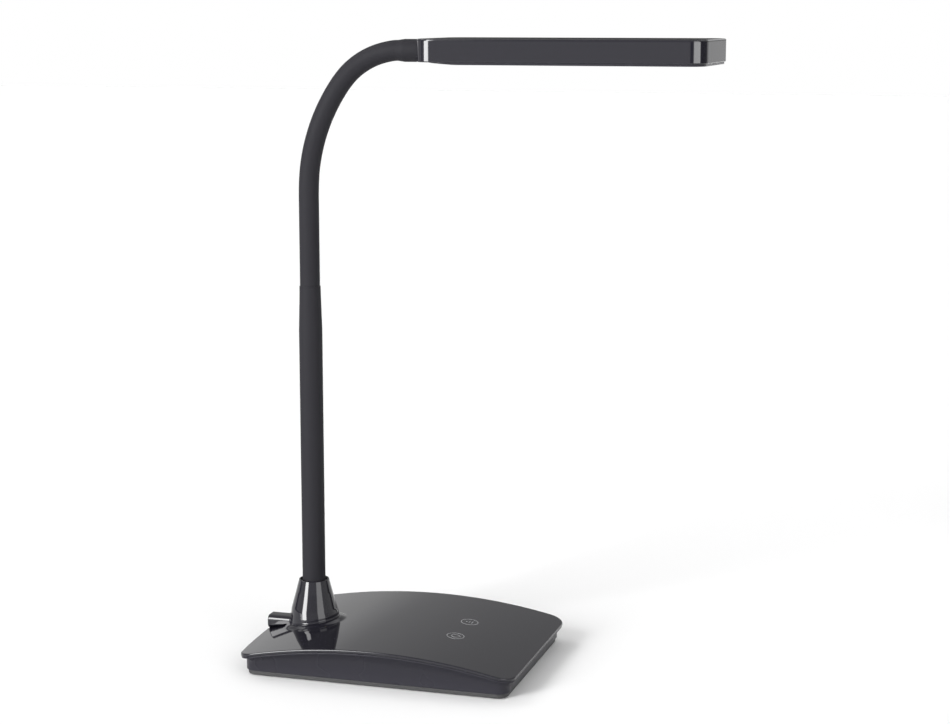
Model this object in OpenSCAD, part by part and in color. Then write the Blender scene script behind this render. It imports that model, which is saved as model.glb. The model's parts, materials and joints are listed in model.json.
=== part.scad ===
// Desk lamp with a flexible neck on an arched rectangular base.
// The head is a slim flat bar with a diffuser below. Two touch marks lie on the base.
// Origin: middle of the base, on the desk. +X runs from the arm towards the user, +Z is up.

/* [Base] */
// Length of the base body along the arm's plane
base_len = 188.6; // [160:0.1:230]
// Width of the base body
base_wid = 141; // [122:1:180]
// Corner radius of the base body seen from above
base_corner = 8; // [6:0.5:16]
// How far the rear end of the base bows out in its middle
rear_bow = 5.3; // [3:0.1:8]
// Height of the plate's top at the front end of the base
end_h = 15.2; // [14.6:0.1:20]
// Rise of the arched plate from its ends to its middle
arch_rise = 11.5; // [9:0.1:16]
// Thickness of the arched top plate
plate_t = 2.2; // [1.6:0.1:3]
// Overhang of the top plate past the body
plate_over = 4; // [2:0.1:5]
// Thickness of the housing's flange under the top plate
flange_t = 1.2; // [0.8:0.1:2]
// Wall thickness of the base housing
base_wall = 2.4; // [1.6:0.1:3.5]
// Height of the bottom cover's rim
cover_rim_h = 2.8; // [2:0.1:4]
// Thickness of the bottom cover's floor
cover_t = 1.6; // [1.2:0.1:2.4]
// How far the bottom cover stands back from the housing wall
cover_inset = 1.2; // [0.6:0.1:2]
// Thickness of the anti-slip pad under the base
pad_t = 1.6; // [1.2:0.1:3]
// How far the anti-slip pad stands out below the bottom cover
pad_proud = 0.8; // [0.5:0.1:1.4]
// Border left free round the anti-slip pad
pad_border = 16; // [14:0.5:30]
// Length of the steel ballast plate
ballast_len = 110; // [90:1:112]
// Width of the steel ballast plate
ballast_wid = 112; // [80:1:116]
// Thickness of the steel ballast plate
ballast_t = 5.5; // [4:0.1:6]

/* [Touch keys] */
// Distance of the two touch marks from the front end of the base
key_inset = 52.3; // [36:0.1:60]
// Distance between the middles of the two touch marks
key_pitch = 34; // [26:0.5:44]
// Outer diameter of each touch ring
key_ring_d = 12.6; // [10:0.1:16]
// Width of the printed lines of the touch marks
key_line = 0.7; // [0.5:0.05:1.2]
// Height of the printed lines above the plate
key_ink = 0.12; // [0.1:0.01:0.3]

/* [Arm] */
// Distance of the arm's axis from the rear corners of the base
arm_inset = 24.8; // [21:0.1:34]
// Outer radius of the soft sleeve on the arm's tube
sleeve_r = 8.2; // [7.6:0.1:9]
// Outer radius of the arm's steel tube
tube_r = 6; // [5:0.1:6.6]
// Wall of the arm's steel tube
tube_wall = 1; // [0.8:0.1:1.5]
// Height of the sleeve's top edge above the desk
sleeve_top = 264; // [220:1:268]
// Length of the sleeve's slow taper below its top edge
sleeve_taper = 25; // [15:1:40]
// Length of the short chamfer at the sleeve's top
sleeve_step = 6; // [3:0.5:10]
// Height of the bell's rim above the desk
bell_top = 52.5; // [46:0.5:60]
// Outer radius of the bell at its rim
bell_rim_r = 10.7; // [10.5:0.1:12]
// Outer radius of the bell at its foot
bell_foot_r = 17.6; // [16.8:0.1:19]
// Height above the desk where the bell's cone meets its upright foot
bell_shoulder = 28; // [26.5:0.5:32]
// Wall thickness of the bell
bell_wall = 2; // [1.6:0.1:2.4]
// Thickness of the rounded ring round the bell's foot
foot_ring_h = 3.4; // [2:0.1:5]
// How far the foot ring stands out past the bell
foot_ring_out = 0.6; // [0.3:0.1:1.2]
// Height of the mound that the plate forms under the bell
mound_h = 1.6; // [1:0.1:2.4]
// Radius of the mound where it meets the plate
mound_r = 23; // [21:0.5:26]

/* [Lead inlet] */
// Width of the inlet block behind the bell
inlet_wid = 12.8; // [11.5:0.1:16]
// Height of the inlet block at the plate's rear edge
inlet_h = 9.9; // [9.8:0.1:12]
// Height of the lead hole's axis above the plate's rear edge
inlet_axis_h = 5.4; // [5.3:0.1:5.6]
// Radius of the hole that the lead passes through
lead_hole_r = 2.2; // [1.8:0.1:2.4]
// Wall of the rubber grommet in the inlet block
grommet_wall = 1; // [0.8:0.1:1.2]
// Radius of the grommet's outer flange
grommet_flange_r = 4; // [3.6:0.1:4.1]

/* [Neck] */
// Outer radius of the flexible neck
neck_r = 7; // [6.6:0.1:7.2]
// Outer radius of the neck's steel core
core_r = 3.5; // [3:0.1:4]
// Inner radius of the neck's steel core
core_bore_r = 2.2; // [1.6:0.1:2.4]
// Height of the lower side-lean pivot above the desk
lean_z = 279; // [277:1:284]
// Distance between the two side-lean pivots
lean_pitch = 30; // [22:1:36]
// Height of the first bend pivot above the second side-lean pivot
lean_to_bend = 29.9; // [22:0.1:36]
// Number of bend pivots in the slow part of the curve
slow_count = 4; // [4:1:4]
// Distance between pivots in the slow part of the curve
slow_pitch = 19; // [16:0.5:24]
// Bend at rest of each pivot in the slow part
slow_bend = 8.5; // [7:0.25:9.5]
// Number of bend pivots in the tight part of the curve
tight_count = 4; // [4:1:4]
// Distance between pivots in the tight part of the curve
tight_pitch = 13.5; // [12.5:0.1:18]
// Radius of the ball on each neck piece
ball_r = 6.6; // [6:0.1:6.6]
// Room between a ball and its socket
ball_room = 0.3; // [0.2:0.05:0.4]
// Depth of a socket's rim below its pivot
rim_back = 2.8; // [2.6:0.1:3.4]
// Share of the rest bend that the neck can bend further
extra_bend = 0.8333; // [0.5:0.0001:0.85]

/* [Head] */
// Length of the head
head_len = 193.5; // [150:0.5:260]
// Width of the head
head_wid = 88; // [70:0.5:110]
// Height of the head's shell
shell_h = 15.2; // [15:0.1:20]
// Corner radius of the head seen from above
head_corner = 12; // [8:0.5:16]
// Size of the bevel along the head's edges
head_bevel = 1; // [0.5:0.1:1.6]
// Wall thickness of the head's shell
shell_wall = 2; // [1.6:0.1:2.6]
// Depth of the light frame below the shell
lip_h = 1.6; // [1:0.1:2.4]
// How far the light frame stands back from the shell's sides
lip_inset = 1; // [0.6:0.1:2]
// How far the light frame starts in from the shell's rear end
lip_rear = 8; // [6:0.5:14]
// Length of the ramp at the rear of the light frame
lip_ramp = 20; // [12:0.5:22]
// Width of the light frame's border round the diffuser
frame_border = 7; // [6.6:0.1:9]
// Extra border at the rear of the light frame
frame_rear = 24; // [22:0.5:34]
// Thickness of the diffuser
diffuser_t = 2; // [1.4:0.1:2.4]
// Outer radius of the cuff between neck and head
cuff_r = 7.7; // [7.3:0.1:8.4]
// Length of the cuff with its chamfer
cuff_len = 24.1; // [22:0.1:32]
// Length of the chamfer at the cuff's start
cuff_chamfer = 5; // [3:0.5:7]
// Distance from the last pivot to the cuff
cuff_start = 4; // [3.6:0.1:6]
// Gap between the cuff and the head
swivel_gap = 0.4; // [0.3:0.05:0.8]
// Outer radius of the hollow swivel pin
pin_r = 4.5; // [4:0.1:5]
// Inner radius of the hollow swivel pin
pin_bore_r = 2.6; // [2.2:0.1:3]
// Number of light points along the head
led_cols = 12; // [6:1:14]
// Number of rows of light points
led_rows = 3; // [2:1:3]

/* [Fits] */
// Room between a rigid piece and the pocket it sits in
seat_gap = 0.15; // [0.1:0.01:0.25]
// Radial room of the swivel pin in the head's bearing
running_gap = 0.06; // [0.02:0.01:0.1]
// Room of pieces that are pressed or screwed together
tight_gap = 0.05; // [0.02:0.01:0.08]
// Width of the fine seam lines between covers
seam = 0.3; // [0.2:0.05:0.5]

/* [Hidden] */
$fn = 96;

eps = 0.01;
big = 1000;

// Base: heights
cover_z = pad_proud;
housing_z = cover_z + cover_rim_h + seam;
plate_half = base_len / 2 + plate_over;
arch_top = end_h + arch_rise;
arch_r = (plate_half * plate_half + arch_rise * arch_rise) / (2 * arch_rise);
function arch_z(x) = arch_top - arch_r + sqrt(arch_r * arch_r - x * x);

// Base: outline with a bowed rear end and round corners
half_wid = base_wid / 2;
bow_r = (half_wid * half_wid + rear_bow * rear_bow) / (2 * rear_bow);
bow_x = -base_len / 2 - rear_bow + bow_r;
corner_y = half_wid - base_corner;
rear_corner_x = bow_x - sqrt(pow(bow_r - base_corner, 2) - corner_y * corner_y);
front_corner_x = base_len / 2 - base_corner;
corner_steps = 10;
bow_steps = 20;

// Base: screws, ballast and boards
boss_r = 4;
cover_shank_r = 1.25;
cover_screw_len = 7;
boss_bore_len = cover_screw_len + 0.5;
flange_back = 0.5;
ledge = 3;
boss_in = base_wall + 2.5;
screw_x = base_len / 2 - base_corner - 6;
screw_y = half_wid - boss_in;
head_screw_r = 2.8;
head_screw_h = 1.6;
shank_room = 0.3;
cover_top = cover_z + cover_t;
nut_h = 3;
nut_rim = 4.6;
washer_h = 0.8;
ballast_z = cover_top + nut_h + 0.4;
ballast_x0 = -base_len / 2 + base_wall + 8;
ballast_post_r = 4;
ballast_post_in = 12;
tube_z = cover_top + 0.6;
board_t = 1.2;
key_x = base_len / 2 - key_inset;
touch_len = 24;
touch_side = 10;
touch_wid = key_pitch + 2 * touch_side;
touch_pad_r = key_ring_d / 2 - 1.5;
touch_pad_h = 3;
touch_z = arch_z(key_x + touch_len / 2) - plate_t - touch_pad_h - board_t;
chip_len = 7;
chip_h = 2;
coil_r = 4;
coil_h = 4.4;
can_r = 2.5;
can_h = 5;
can_pitch = 7;
plug_len = 6;
plug_wid = 8;
post_r = 2.6;
board_post_in = 3;
driver_x0 = ballast_x0 + ballast_len + 3;
driver_x1 = base_len / 2 - base_wall - 14;
driver_wid = key_pitch + 6;
driver_z = cover_top + 3;
lead_r = 1.2;
lead_slot = 5;
lead_run_z = ballast_z + ballast_t + washer_h + nut_h + lead_r + 0.3;
lead_low_z = ballast_z + ballast_t + lead_r + 0.2;
plug_x = driver_x0 + 4;
plug_y = 10;
plug_clear = lead_r + 0.3;
plug_h = lead_low_z - plug_clear - driver_z - board_t;

// Arm: values worked out from the sizes above
arm_x = -base_len / 2 + arm_inset;
seat_z = arch_z(arm_x);
seat_tilt = asin(-arm_x / arch_r);
mound_top_r = bell_foot_r + 1;
mound_sink = 2;
tube_bore_r = tube_r - tube_wall;
sleeve_in_bell = 8;
sleeve_over_neck = 16;
sleeve_seat_z = bell_top - sleeve_in_bell;
sleeve_neck_r = neck_r + 0.5;
sleeve_lip = 0.25;
tube_top = sleeve_top - sleeve_over_neck;
ferrule_len = 22;
bell_screw_y = tube_r + 5.4;
bell_screw_r = 1.35;
bell_screw_len = 9;
boss_wall = 1.6;
seat_floor = 3;
inlet_root = 3;
rim_wall = 1;
rim_depth = 2.5;
inlet_rear_x = bow_x - bow_r - plate_over;
inlet_top = arch_z(inlet_rear_x) + inlet_h;
inlet_axis_z = arch_z(inlet_rear_x) + inlet_axis_h;
inlet_drop_x = arm_x - tube_r - 5.2;
grommet_r = lead_hole_r + grommet_wall;
grommet_clear = 3.6;
grommet_len = arm_x - mound_r - grommet_clear - inlet_rear_x;
grommet_flange_h = 1;

// Neck: pivots, each as [x, z, angle of the piece above it]
socket_r = ball_r + ball_room;
tight_bend = (90 - slow_count * slow_bend) / tight_count;
bend_count = slow_count + tight_count;
function bend_of(i) = i <= slow_count ? slow_bend : tight_bend;
function pitch_of(i) = i <= slow_count ? slow_pitch : tight_pitch;
function angle_after(i) = i == 0 ? 0 : angle_after(i - 1) + bend_of(i);
first_bend_z = lean_z + lean_pitch + lean_to_bend;
function pivot_x(i) = i == 1 ? arm_x : pivot_x(i - 1) + pitch_of(i - 1) * sin(angle_after(i - 1));
function pivot_z(i) = i == 1 ? first_bend_z
    : pivot_z(i - 1) + pitch_of(i - 1) * cos(angle_after(i - 1));
rim_angle = atan(rim_back / neck_r);
play_angle = 3;
// Start of a neck piece's full radius above its pivot, so that it clears the rim when bent
function shoulder_for(turn) = max(0.4, neck_r * tan(max(0, turn - rim_angle + play_angle)));
function shoulder_of(bend) = shoulder_for(bend * (1 + extra_bend));
side_lean = 20;
lean_shoulder = shoulder_for(side_lean);
core_low = 3;
core_top_room = 1.3;
end_x = pivot_x(bend_count);
end_z = pivot_z(bend_count);

// Head: values worked out from the sizes above
cuff_x0 = end_x + cuff_start;
cuff_x1 = cuff_x0 + cuff_len;
head_x0 = cuff_x1 + swivel_gap;
head_x1 = head_x0 + head_len;
head_mid_x = (head_x0 + head_x1) / 2;
head_z0 = end_z - shell_h / 2 + lip_h / 2;
head_top = head_z0 + shell_h;
bearing_half = pin_r + 2.5;
bearing_len = 9;
pin_flange_r = pin_r + 1.3;
pin_flange_h = 2;
pin_tail = 9;
notch_end = 2;
cuff_edge = 0.6;
pin_back = 12;
swivel_washer_h = 0.8;
swivel_nut_h = 4;
swivel_rim = 1.6;
nut_room = 0.5;
notch_floor = 0.5;
board_screw_r = 2.2;
board_screw_h = 1.1;
board_shank_r = 0.85;
frame_shank_r = 1.15;
frame_screw_len = 7;
frame_screw_r = 2.4;
frame_screw_h = 1.2;
heat_t = 2;
led_board_t = 1.6;
led_t = 0.9;
led_side = 3;
led_end_x = 12;
led_end_y = 9;
cavity_top = head_top - shell_wall;
board_boss_h = 1.2;
board_boss_r = 3;
frame_boss_r = 3.4;
boss_root = 0.5;
heat_plate_z = cavity_top - board_boss_h - heat_t;
led_board_z = heat_plate_z - led_board_t;
light_x0 = head_x0 + frame_rear;
light_x1 = head_x1 - lip_inset - frame_border - 1;
light_wid = head_wid - 2 * (lip_inset + frame_border);
frame_in_h = 2;
frame_rebate = 2;
window_step = 5;
window_r = head_corner - window_step;
diffuser_back = 0.3;
lip_start = 0.2;
ramp_angle = atan((lip_h - lip_start) / lip_ramp);
plate_x0 = light_x0 + 2;
plate_x1 = head_x1 - shell_wall - 9;
plate_wid = head_wid - 2 * shell_wall - 14;
screw_clear = 0.2;
// Distance of a screw from both sides of a round corner, just clear of the shell's inner wall
corner_seat = head_corner - (head_corner - shell_wall - frame_screw_r - screw_clear) * cos(45);
frame_screw_x = [head_x0 + corner_seat, head_x1 - corner_seat];
frame_screw_y = head_wid / 2 - corner_seat;
board_screw_x = [plate_x0 + 6, plate_x1 - 6];
board_screw_y = plate_wid / 2 - 4;

// Colours
gloss_black = [0.03, 0.03, 0.035];
soft_black = [0.09, 0.09, 0.095];
satin_black = [0.06, 0.06, 0.065];
steel = [0.62, 0.63, 0.65];
zinc = [0.7, 0.71, 0.73];
board_green = [0.06, 0.25, 0.14];
lead_grey = [0.2, 0.2, 0.21];
opal_white = [0.93, 0.93, 0.9];
ink_grey = [0.72, 0.73, 0.74];

// Points of a round corner of radius r about (x, y), from one direction to another
function corner(x, y, r, from, to) =
    [for (i = [0:corner_steps]) let (a = from + (to - from) * i / corner_steps)
        [x + r * cos(a), y + r * sin(a)]];

// Outline of the base grown by d: straight front end, bowed rear end, four round corners
function outline(d) = let (r = base_corner + d, turn = asin(corner_y / (bow_r - base_corner))) concat(
    corner(front_corner_x, -corner_y, r, -90, 0),
    corner(front_corner_x, corner_y, r, 0, 90),
    corner(rear_corner_x, corner_y, r, 90, 180 - turn),
    [for (i = [1:bow_steps - 1]) let (a = 180 - turn + 2 * turn * i / bow_steps)
        [bow_x + (bow_r + d) * cos(a), (bow_r + d) * sin(a)]],
    corner(rear_corner_x, -corner_y, r, 180 + turn, 270));

// Upright prism of the base's outline, grown by d, between two heights
module footprint(d, z0, z1) {
    translate([0, 0, z0]) linear_extrude(z1 - z0) polygon(outline(d));
}

// Everything below the arched surface that lies drop under the plate's top
module below_arch(drop) {
    translate([0, big / 2, arch_top - arch_r]) rotate([90, 0, 0])
        cylinder(r = arch_r - drop, h = big, $fn = 1440);
}

// Places children on the plate's top at the arm's axis, with +Z along the plate's normal
module on_seat() {
    translate([arm_x, 0, seat_z]) rotate([0, -seat_tilt, 0]) children();
}

// Low cone of the mound, grown by g
module mound(g) {
    flare = (mound_r - mound_top_r) / mound_h;
    on_seat() translate([0, 0, -mound_sink])
        cylinder(r1 = mound_r + mound_sink * flare + g, r2 = mound_top_r + g, h = mound_sink + mound_h + g);
}

// Rounded box with bevelled top and bottom edges, centred on x and y, standing on z = 0
module bevel_box(l, w, r, h, top, bottom) {
    translate([-l / 2 + r, 0, 0]) rotate([90, 0, 90]) linear_extrude(l - 2 * r)
        polygon([[-w / 2 + bottom, 0], [w / 2 - bottom, 0], [w / 2, bottom], [w / 2, h - top],
                 [w / 2 - top, h], [-w / 2 + top, h], [-w / 2, h - top], [-w / 2, bottom]]);
    translate([0, w / 2 - r, 0]) rotate([90, 0, 0]) linear_extrude(w - 2 * r)
        polygon([[-l / 2 + bottom, 0], [l / 2 - bottom, 0], [l / 2, bottom], [l / 2, h - top],
                 [l / 2 - top, h], [-l / 2 + top, h], [-l / 2, h - top], [-l / 2, bottom]]);
    for (x = [-l / 2 + r, l / 2 - r], y = [-w / 2 + r, w / 2 - r])
        translate([x, y, 0]) rotate_extrude()
            polygon([[0, 0], [r - bottom, 0], [r, bottom], [r, h - top], [r - top, h], [0, h]]);
}

// Pan-head screw with its head at z = 0 and its shank along +Z
module screw(head_r, head_h, shank_r, shank_len) {
    difference() {
        cylinder(r = head_r, h = head_h);
        translate([-head_r * 0.6, -0.4, -eps]) cube([head_r * 1.2, 0.8, head_h / 2]);
        translate([-0.4, -head_r * 0.6, -eps]) cube([0.8, head_r * 1.2, head_h / 2]);
    }
    translate([0, 0, head_h - eps]) cylinder(r = shank_r, h = shank_len + eps);
}

module at_cover_screws() {
    for (x = [-screw_x, screw_x], y = [-screw_y, screw_y]) translate([x, y, 0]) children();
}

// Arched glossy plate with the mound, the arm's hole, the lead hole and the bell's screw holes
module top_plate() color(gloss_black) difference() {
    union() {
        difference() {
            intersection() {
                footprint(plate_over, 0, arch_top + 1);
                below_arch(0);
            }
            below_arch(plate_t);
        }
        difference() {
            mound(0);
            below_arch(plate_t / 2);
        }
    }
    translate([arm_x, 0, 0]) cylinder(r = tube_r + seat_gap, h = big);
    translate([inlet_drop_x, 0, 0]) cylinder(r = lead_hole_r, h = big);
    for (y = [-bell_screw_y, bell_screw_y]) translate([arm_x, y, 0])
        cylinder(r = bell_screw_r + shank_room, h = big);
}

// Side walls with the flange that carries the plate, and four screw bosses
module base_housing() color(satin_black) difference() {
    union() {
        difference() {
            under_plate(0, seam);
            footprint(-base_wall, 0, arch_top);
        }
        difference() {
            under_plate(plate_over - flange_back, seam);
            below_arch(plate_t + seam + flange_t);
            footprint(-base_wall - ledge, 0, arch_top);
        }
        intersection() {
            at_cover_screws() translate([0, 0, housing_z]) cylinder(r = boss_r, h = arch_top);
            under_plate(0, seam);
        }
    }
    at_cover_screws() translate([0, 0, housing_z - eps])
        cylinder(r = cover_shank_r + tight_gap, h = boss_bore_len);
}

// Space of the base's outline, grown by d, from the housing's foot to gap below the plate
module under_plate(d, gap) intersection() {
    footprint(d, housing_z, arch_top);
    below_arch(plate_t + gap);
}

// Shallow tray that closes the base, with posts for the ballast and the boards
module bottom_cover() color(soft_black) difference() {
    union() {
        footprint(-cover_inset, cover_z, cover_top);
        difference() {
            footprint(-cover_inset, cover_z, cover_z + cover_rim_h);
            footprint(-cover_inset - cover_t, cover_z, cover_z + cover_rim_h + 1);
        }
        at_cover_screws() translate([0, 0, cover_z]) cylinder(r = boss_r, h = housing_z - cover_z);
        translate([0, 0, cover_z]) {
            at_ballast_posts() cylinder(r = ballast_post_r, h = ballast_z - cover_z);
            at_touch_posts() cylinder(r = post_r, h = touch_z - cover_z);
            at_driver_posts() cylinder(r = post_r, h = driver_z - cover_z);
        }
    }
    translate([0, 0, -eps]) pad_shape(seat_gap, pad_t + tight_gap + eps);
    at_cover_screws() {
        cylinder(r = cover_shank_r + shank_room, h = big);
        cylinder(r = head_screw_r + seat_gap, h = cover_z + head_screw_h + tight_gap);
    }
}

module pad_shape(g, h) {
    l = base_len - 2 * pad_border + 2 * g;
    w = base_wid - 2 * pad_border + 2 * g;
    bevel_box(l, w, base_corner, h, eps, eps);
}

// Rubber pad that the lamp stands on
module antislip_pad() color([0.05, 0.05, 0.05]) pad_shape(0, pad_t);

module at_ballast_posts() {
    for (x = [ballast_x0 + ballast_post_in, ballast_x0 + ballast_len - ballast_post_in], side = [-1, 1])
        translate([x, side * (ballast_wid / 2 - ballast_post_in), 0]) children();
}

module at_touch_posts() {
    x = touch_len / 2 - board_post_in;
    y = touch_wid / 2 - board_post_in;
    for (end = [-1, 1], side = [-1, 1]) translate([key_x + end * x, side * y, 0]) children();
}

module at_driver_posts() {
    for (x = [driver_x0 + board_post_in, driver_x1 - board_post_in], side = [-1, 1])
        translate([x, side * (driver_wid / 2 - board_post_in), 0]) children();
}

// Steel weight in the rear of the base, held to the arm's tube by its nuts
module ballast_plate() color(steel) difference() {
    translate([ballast_x0, -ballast_wid / 2, ballast_z]) cube([ballast_len, ballast_wid, ballast_t]);
    translate([arm_x, 0, 0]) cylinder(r = tube_r + seat_gap, h = big);
}

// Four screws from below through the bottom cover into the housing's bosses
module cover_screws() color(zinc) at_cover_screws()
    translate([0, 0, cover_z]) screw(head_screw_r, head_screw_h, cover_shank_r, cover_screw_len);

// Printed marks: a ring with three rising bars, and a ring with a small open ring and a short bar
module key_marks() color(ink_grey) intersection() {
    union() {
        for (y = [-key_pitch / 2, key_pitch / 2]) translate([key_x, y, 0]) difference() {
            cylinder(r = key_ring_d / 2, h = big);
            cylinder(r = key_ring_d / 2 - key_line, h = big);
        }
        for (i = [-1, 0, 1]) translate([key_x + i * key_ring_d / 6, key_pitch / 2, 0])
            translate([-key_line / 2, -key_ring_d * (2 + i) / 16, 0])
                cube([key_line, key_ring_d * (2 + i) / 8, big]);
        translate([key_x, -key_pitch / 2, 0]) difference() {
            cylinder(r = key_ring_d / 4, h = big);
            cylinder(r = key_ring_d / 4 - key_line, h = big);
            translate([0, -key_line, 0]) cube([key_ring_d, 2 * key_line, big]);
        }
        translate([key_x + key_ring_d / 5, -key_pitch / 2 - key_line / 2, 0])
            cube([key_ring_d / 8, key_line, big]);
    }
    difference() {
        below_arch(-key_ink);
        below_arch(0);
    }
}

// Board below the plate that senses the two keys
module touch_board() color(board_green) {
    translate([key_x - touch_len / 2, -touch_wid / 2, touch_z]) cube([touch_len, touch_wid, board_t]);
    translate([key_x - chip_len / 2, -chip_len / 2, touch_z - chip_h]) cube([chip_len, chip_len, chip_h]);
}

// Two conductive pads that press from the board against the plate
module touch_pads() color([0.25, 0.25, 0.26]) intersection() {
    for (y = [-key_pitch / 2, key_pitch / 2]) translate([key_x, y, touch_z + board_t])
        cylinder(r = touch_pad_r, h = big);
    below_arch(plate_t + seat_gap);
}

// Board that drives the lights, with its coil, capacitors and plug
module driver_board() color(board_green) {
    mid = (driver_x0 + driver_x1) / 2;
    top = driver_z + board_t;
    translate([driver_x0, -driver_wid / 2, driver_z])
        cube([driver_x1 - driver_x0, driver_wid, board_t]);
    translate([mid + can_pitch, can_pitch, top]) cylinder(r = coil_r, h = coil_h);
    for (y = [-can_pitch * 1.5, -can_pitch / 2]) translate([mid + can_pitch, y, top])
        cylinder(r = can_r, h = can_h);
    translate([mid - chip_len, -chip_len, top]) cube([chip_len, chip_len, chip_h]);
    translate([plug_x - plug_len / 2, plug_y - plug_wid / 2, top]) cube([plug_len, plug_wid, plug_h]);
}

// Shape of the mound and the plate's top, grown by g, that the bell stands on
module bell_ground(g) {
    below_arch(-g);
    mound(g);
}

// Conical bell with its foot ring and the inlet block behind it
module arm_bell() color(gloss_black) difference() {
    union() {
        translate([arm_x, 0, 0]) {
            cylinder(r = bell_foot_r, h = bell_shoulder);
            translate([0, 0, bell_shoulder])
                cylinder(r1 = bell_foot_r, r2 = bell_rim_r, h = bell_top - bell_shoulder);
        }
        on_seat() cylinder(r = bell_foot_r + foot_ring_out, h = mound_h + foot_ring_h);
        translate([inlet_rear_x, -inlet_wid / 2, 0])
            cube([arm_x - bell_foot_r + inlet_root - inlet_rear_x, inlet_wid, inlet_top]);
    }
    bell_ground(tight_gap);
    bell_hollow();
    translate([arm_x, 0, 0]) cylinder(r = tube_r + seat_gap, h = big);
    translate([arm_x, 0, sleeve_seat_z]) cylinder(r = sleeve_r + seat_gap, h = big);
    translate([arm_x, 0, bell_top - rim_depth]) cylinder(r = bell_rim_r - rim_wall, h = big);
    translate([inlet_rear_x - 1, 0, inlet_axis_z]) rotate([0, 90, 0])
        cylinder(r = grommet_r + tight_gap, h = inlet_drop_x + lead_hole_r - inlet_rear_x + 1);
    translate([inlet_rear_x - 1, 0, inlet_axis_z]) rotate([0, 90, 0])
        cylinder(r = grommet_flange_r + tight_gap, h = 1 + grommet_flange_h);
    for (y = [-bell_screw_y, bell_screw_y]) translate([arm_x, y, 0])
        cylinder(r = bell_screw_r + tight_gap, h = seat_z + bell_screw_len);
}

// Room inside the bell round the tube, with two screw bosses left standing
module bell_hollow() difference() {
    translate([arm_x, 0, 0]) {
        cylinder(r = bell_foot_r - bell_wall, h = bell_shoulder);
        translate([0, 0, bell_shoulder - eps])
            cylinder(r1 = bell_foot_r - bell_wall, r2 = tube_r + seat_gap,
                     h = sleeve_seat_z - seat_floor - bell_shoulder);
    }
    for (y = [-bell_screw_y, bell_screw_y]) translate([arm_x, y, 0])
        cylinder(r = bell_screw_r + boss_wall, h = big);
}

// Two screws from below the plate into the bell's bosses
module bell_screws() color(zinc) for (y = [-bell_screw_y, bell_screw_y])
    translate([arm_x, y, arch_z(arm_x - head_screw_r) - plate_t - head_screw_h - tight_gap])
        screw(head_screw_r, head_screw_h, bell_screw_r, bell_screw_len);

// Rubber grommet that lines the lead's way into the inlet block
module inlet_grommet() color(soft_black)
    translate([inlet_rear_x, 0, inlet_axis_z]) rotate([0, 90, 0]) difference() {
        union() {
            cylinder(r = grommet_flange_r, h = grommet_flange_h);
            cylinder(r = grommet_r, h = grommet_len);
        }
        translate([0, 0, -1]) cylinder(r = lead_hole_r, h = grommet_len + 2);
    }

// Steel tube that carries the neck
module arm_tube() color(steel) translate([arm_x, 0, tube_z]) difference() {
    cylinder(r = tube_r, h = tube_top - tube_z);
    translate([0, 0, -1]) cylinder(r = tube_bore_r, h = tube_top - tube_z + 2);
    translate([0, -lead_slot / 2, -1])
        cube([tube_r + 1, lead_slot, lead_run_z + lead_slot / 2 + 1 - tube_z]);
}

// Nut on the tube's thread
module hex_nut(h) difference() {
    cylinder(r = tube_r + nut_rim, h = h, $fn = 6);
    translate([0, 0, -1]) cylinder(r = tube_r + tight_gap, h = h + 2);
}

// Washer and nuts that clamp the tube to the ballast plate
module tube_washer() color(zinc) translate([arm_x, 0, ballast_z + ballast_t]) difference() {
    cylinder(r = tube_r + nut_rim + 0.4, h = washer_h);
    translate([0, 0, -1]) cylinder(r = tube_r + seat_gap, h = washer_h + 2);
}

module tube_nut_upper() color(zinc)
    translate([arm_x, 0, ballast_z + ballast_t + washer_h]) hex_nut(nut_h);

module tube_nut_lower() color(zinc)
    translate([arm_x, 0, ballast_z - nut_h]) hex_nut(nut_h);

// Soft sleeve over the tube, with a slow taper and a short chamfer at its top
module tube_sleeve() color(soft_black) translate([arm_x, 0, 0]) difference() {
    rotate_extrude() polygon([
        [0, sleeve_seat_z], [sleeve_r, sleeve_seat_z],
        [sleeve_r, sleeve_top - sleeve_step - sleeve_taper], [sleeve_neck_r, sleeve_top - sleeve_step],
        [neck_r + sleeve_lip, sleeve_top], [0, sleeve_top]]);
    cylinder(r = tube_r + tight_gap, h = tube_top + eps);
    translate([0, 0, tube_top]) cylinder(r = neck_r + tight_gap, h = big);
}

// Steel plug that grips the neck's core in the top of the tube
module neck_ferrule() color(steel) translate([arm_x, 0, tube_top - ferrule_len]) difference() {
    cylinder(r = tube_bore_r - tight_gap, h = ferrule_len);
    translate([0, 0, -1]) cylinder(r = core_r + tight_gap, h = ferrule_len + 2);
}

// Lead from the driver board along the ballast and up through the tube
module arm_lead() color(lead_grey) {
    top = tube_top - ferrule_len - 2;
    elbow_x = arm_x + tube_r + 8;
    reach = plug_x - elbow_x;
    translate([arm_x, 0, lead_run_z]) {
        lead_bend();
        cylinder(r = lead_r, h = top - lead_run_z, $fn = 24);
        rotate([0, 90, 0]) cylinder(r = lead_r, h = elbow_x - arm_x, $fn = 24);
    }
    translate([elbow_x, 0, lead_run_z]) lead_bend();
    translate([elbow_x, 0, lead_low_z]) {
        cylinder(r = lead_r, h = lead_run_z - lead_low_z, $fn = 24);
        lead_bend();
        rotate([0, 90, atan(plug_y / reach)])
            cylinder(r = lead_r, h = sqrt(reach * reach + plug_y * plug_y), $fn = 24);
    }
    translate([plug_x, plug_y, lead_low_z]) lead_bend();
    translate([plug_x, plug_y, driver_z + board_t + plug_h])
        cylinder(r = lead_r, h = plug_clear, $fn = 24);
}

// Rounded bend of a lead, a little fuller than the lead
module lead_bend() sphere(r = lead_r + 0.06, $fn = 24);

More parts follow.
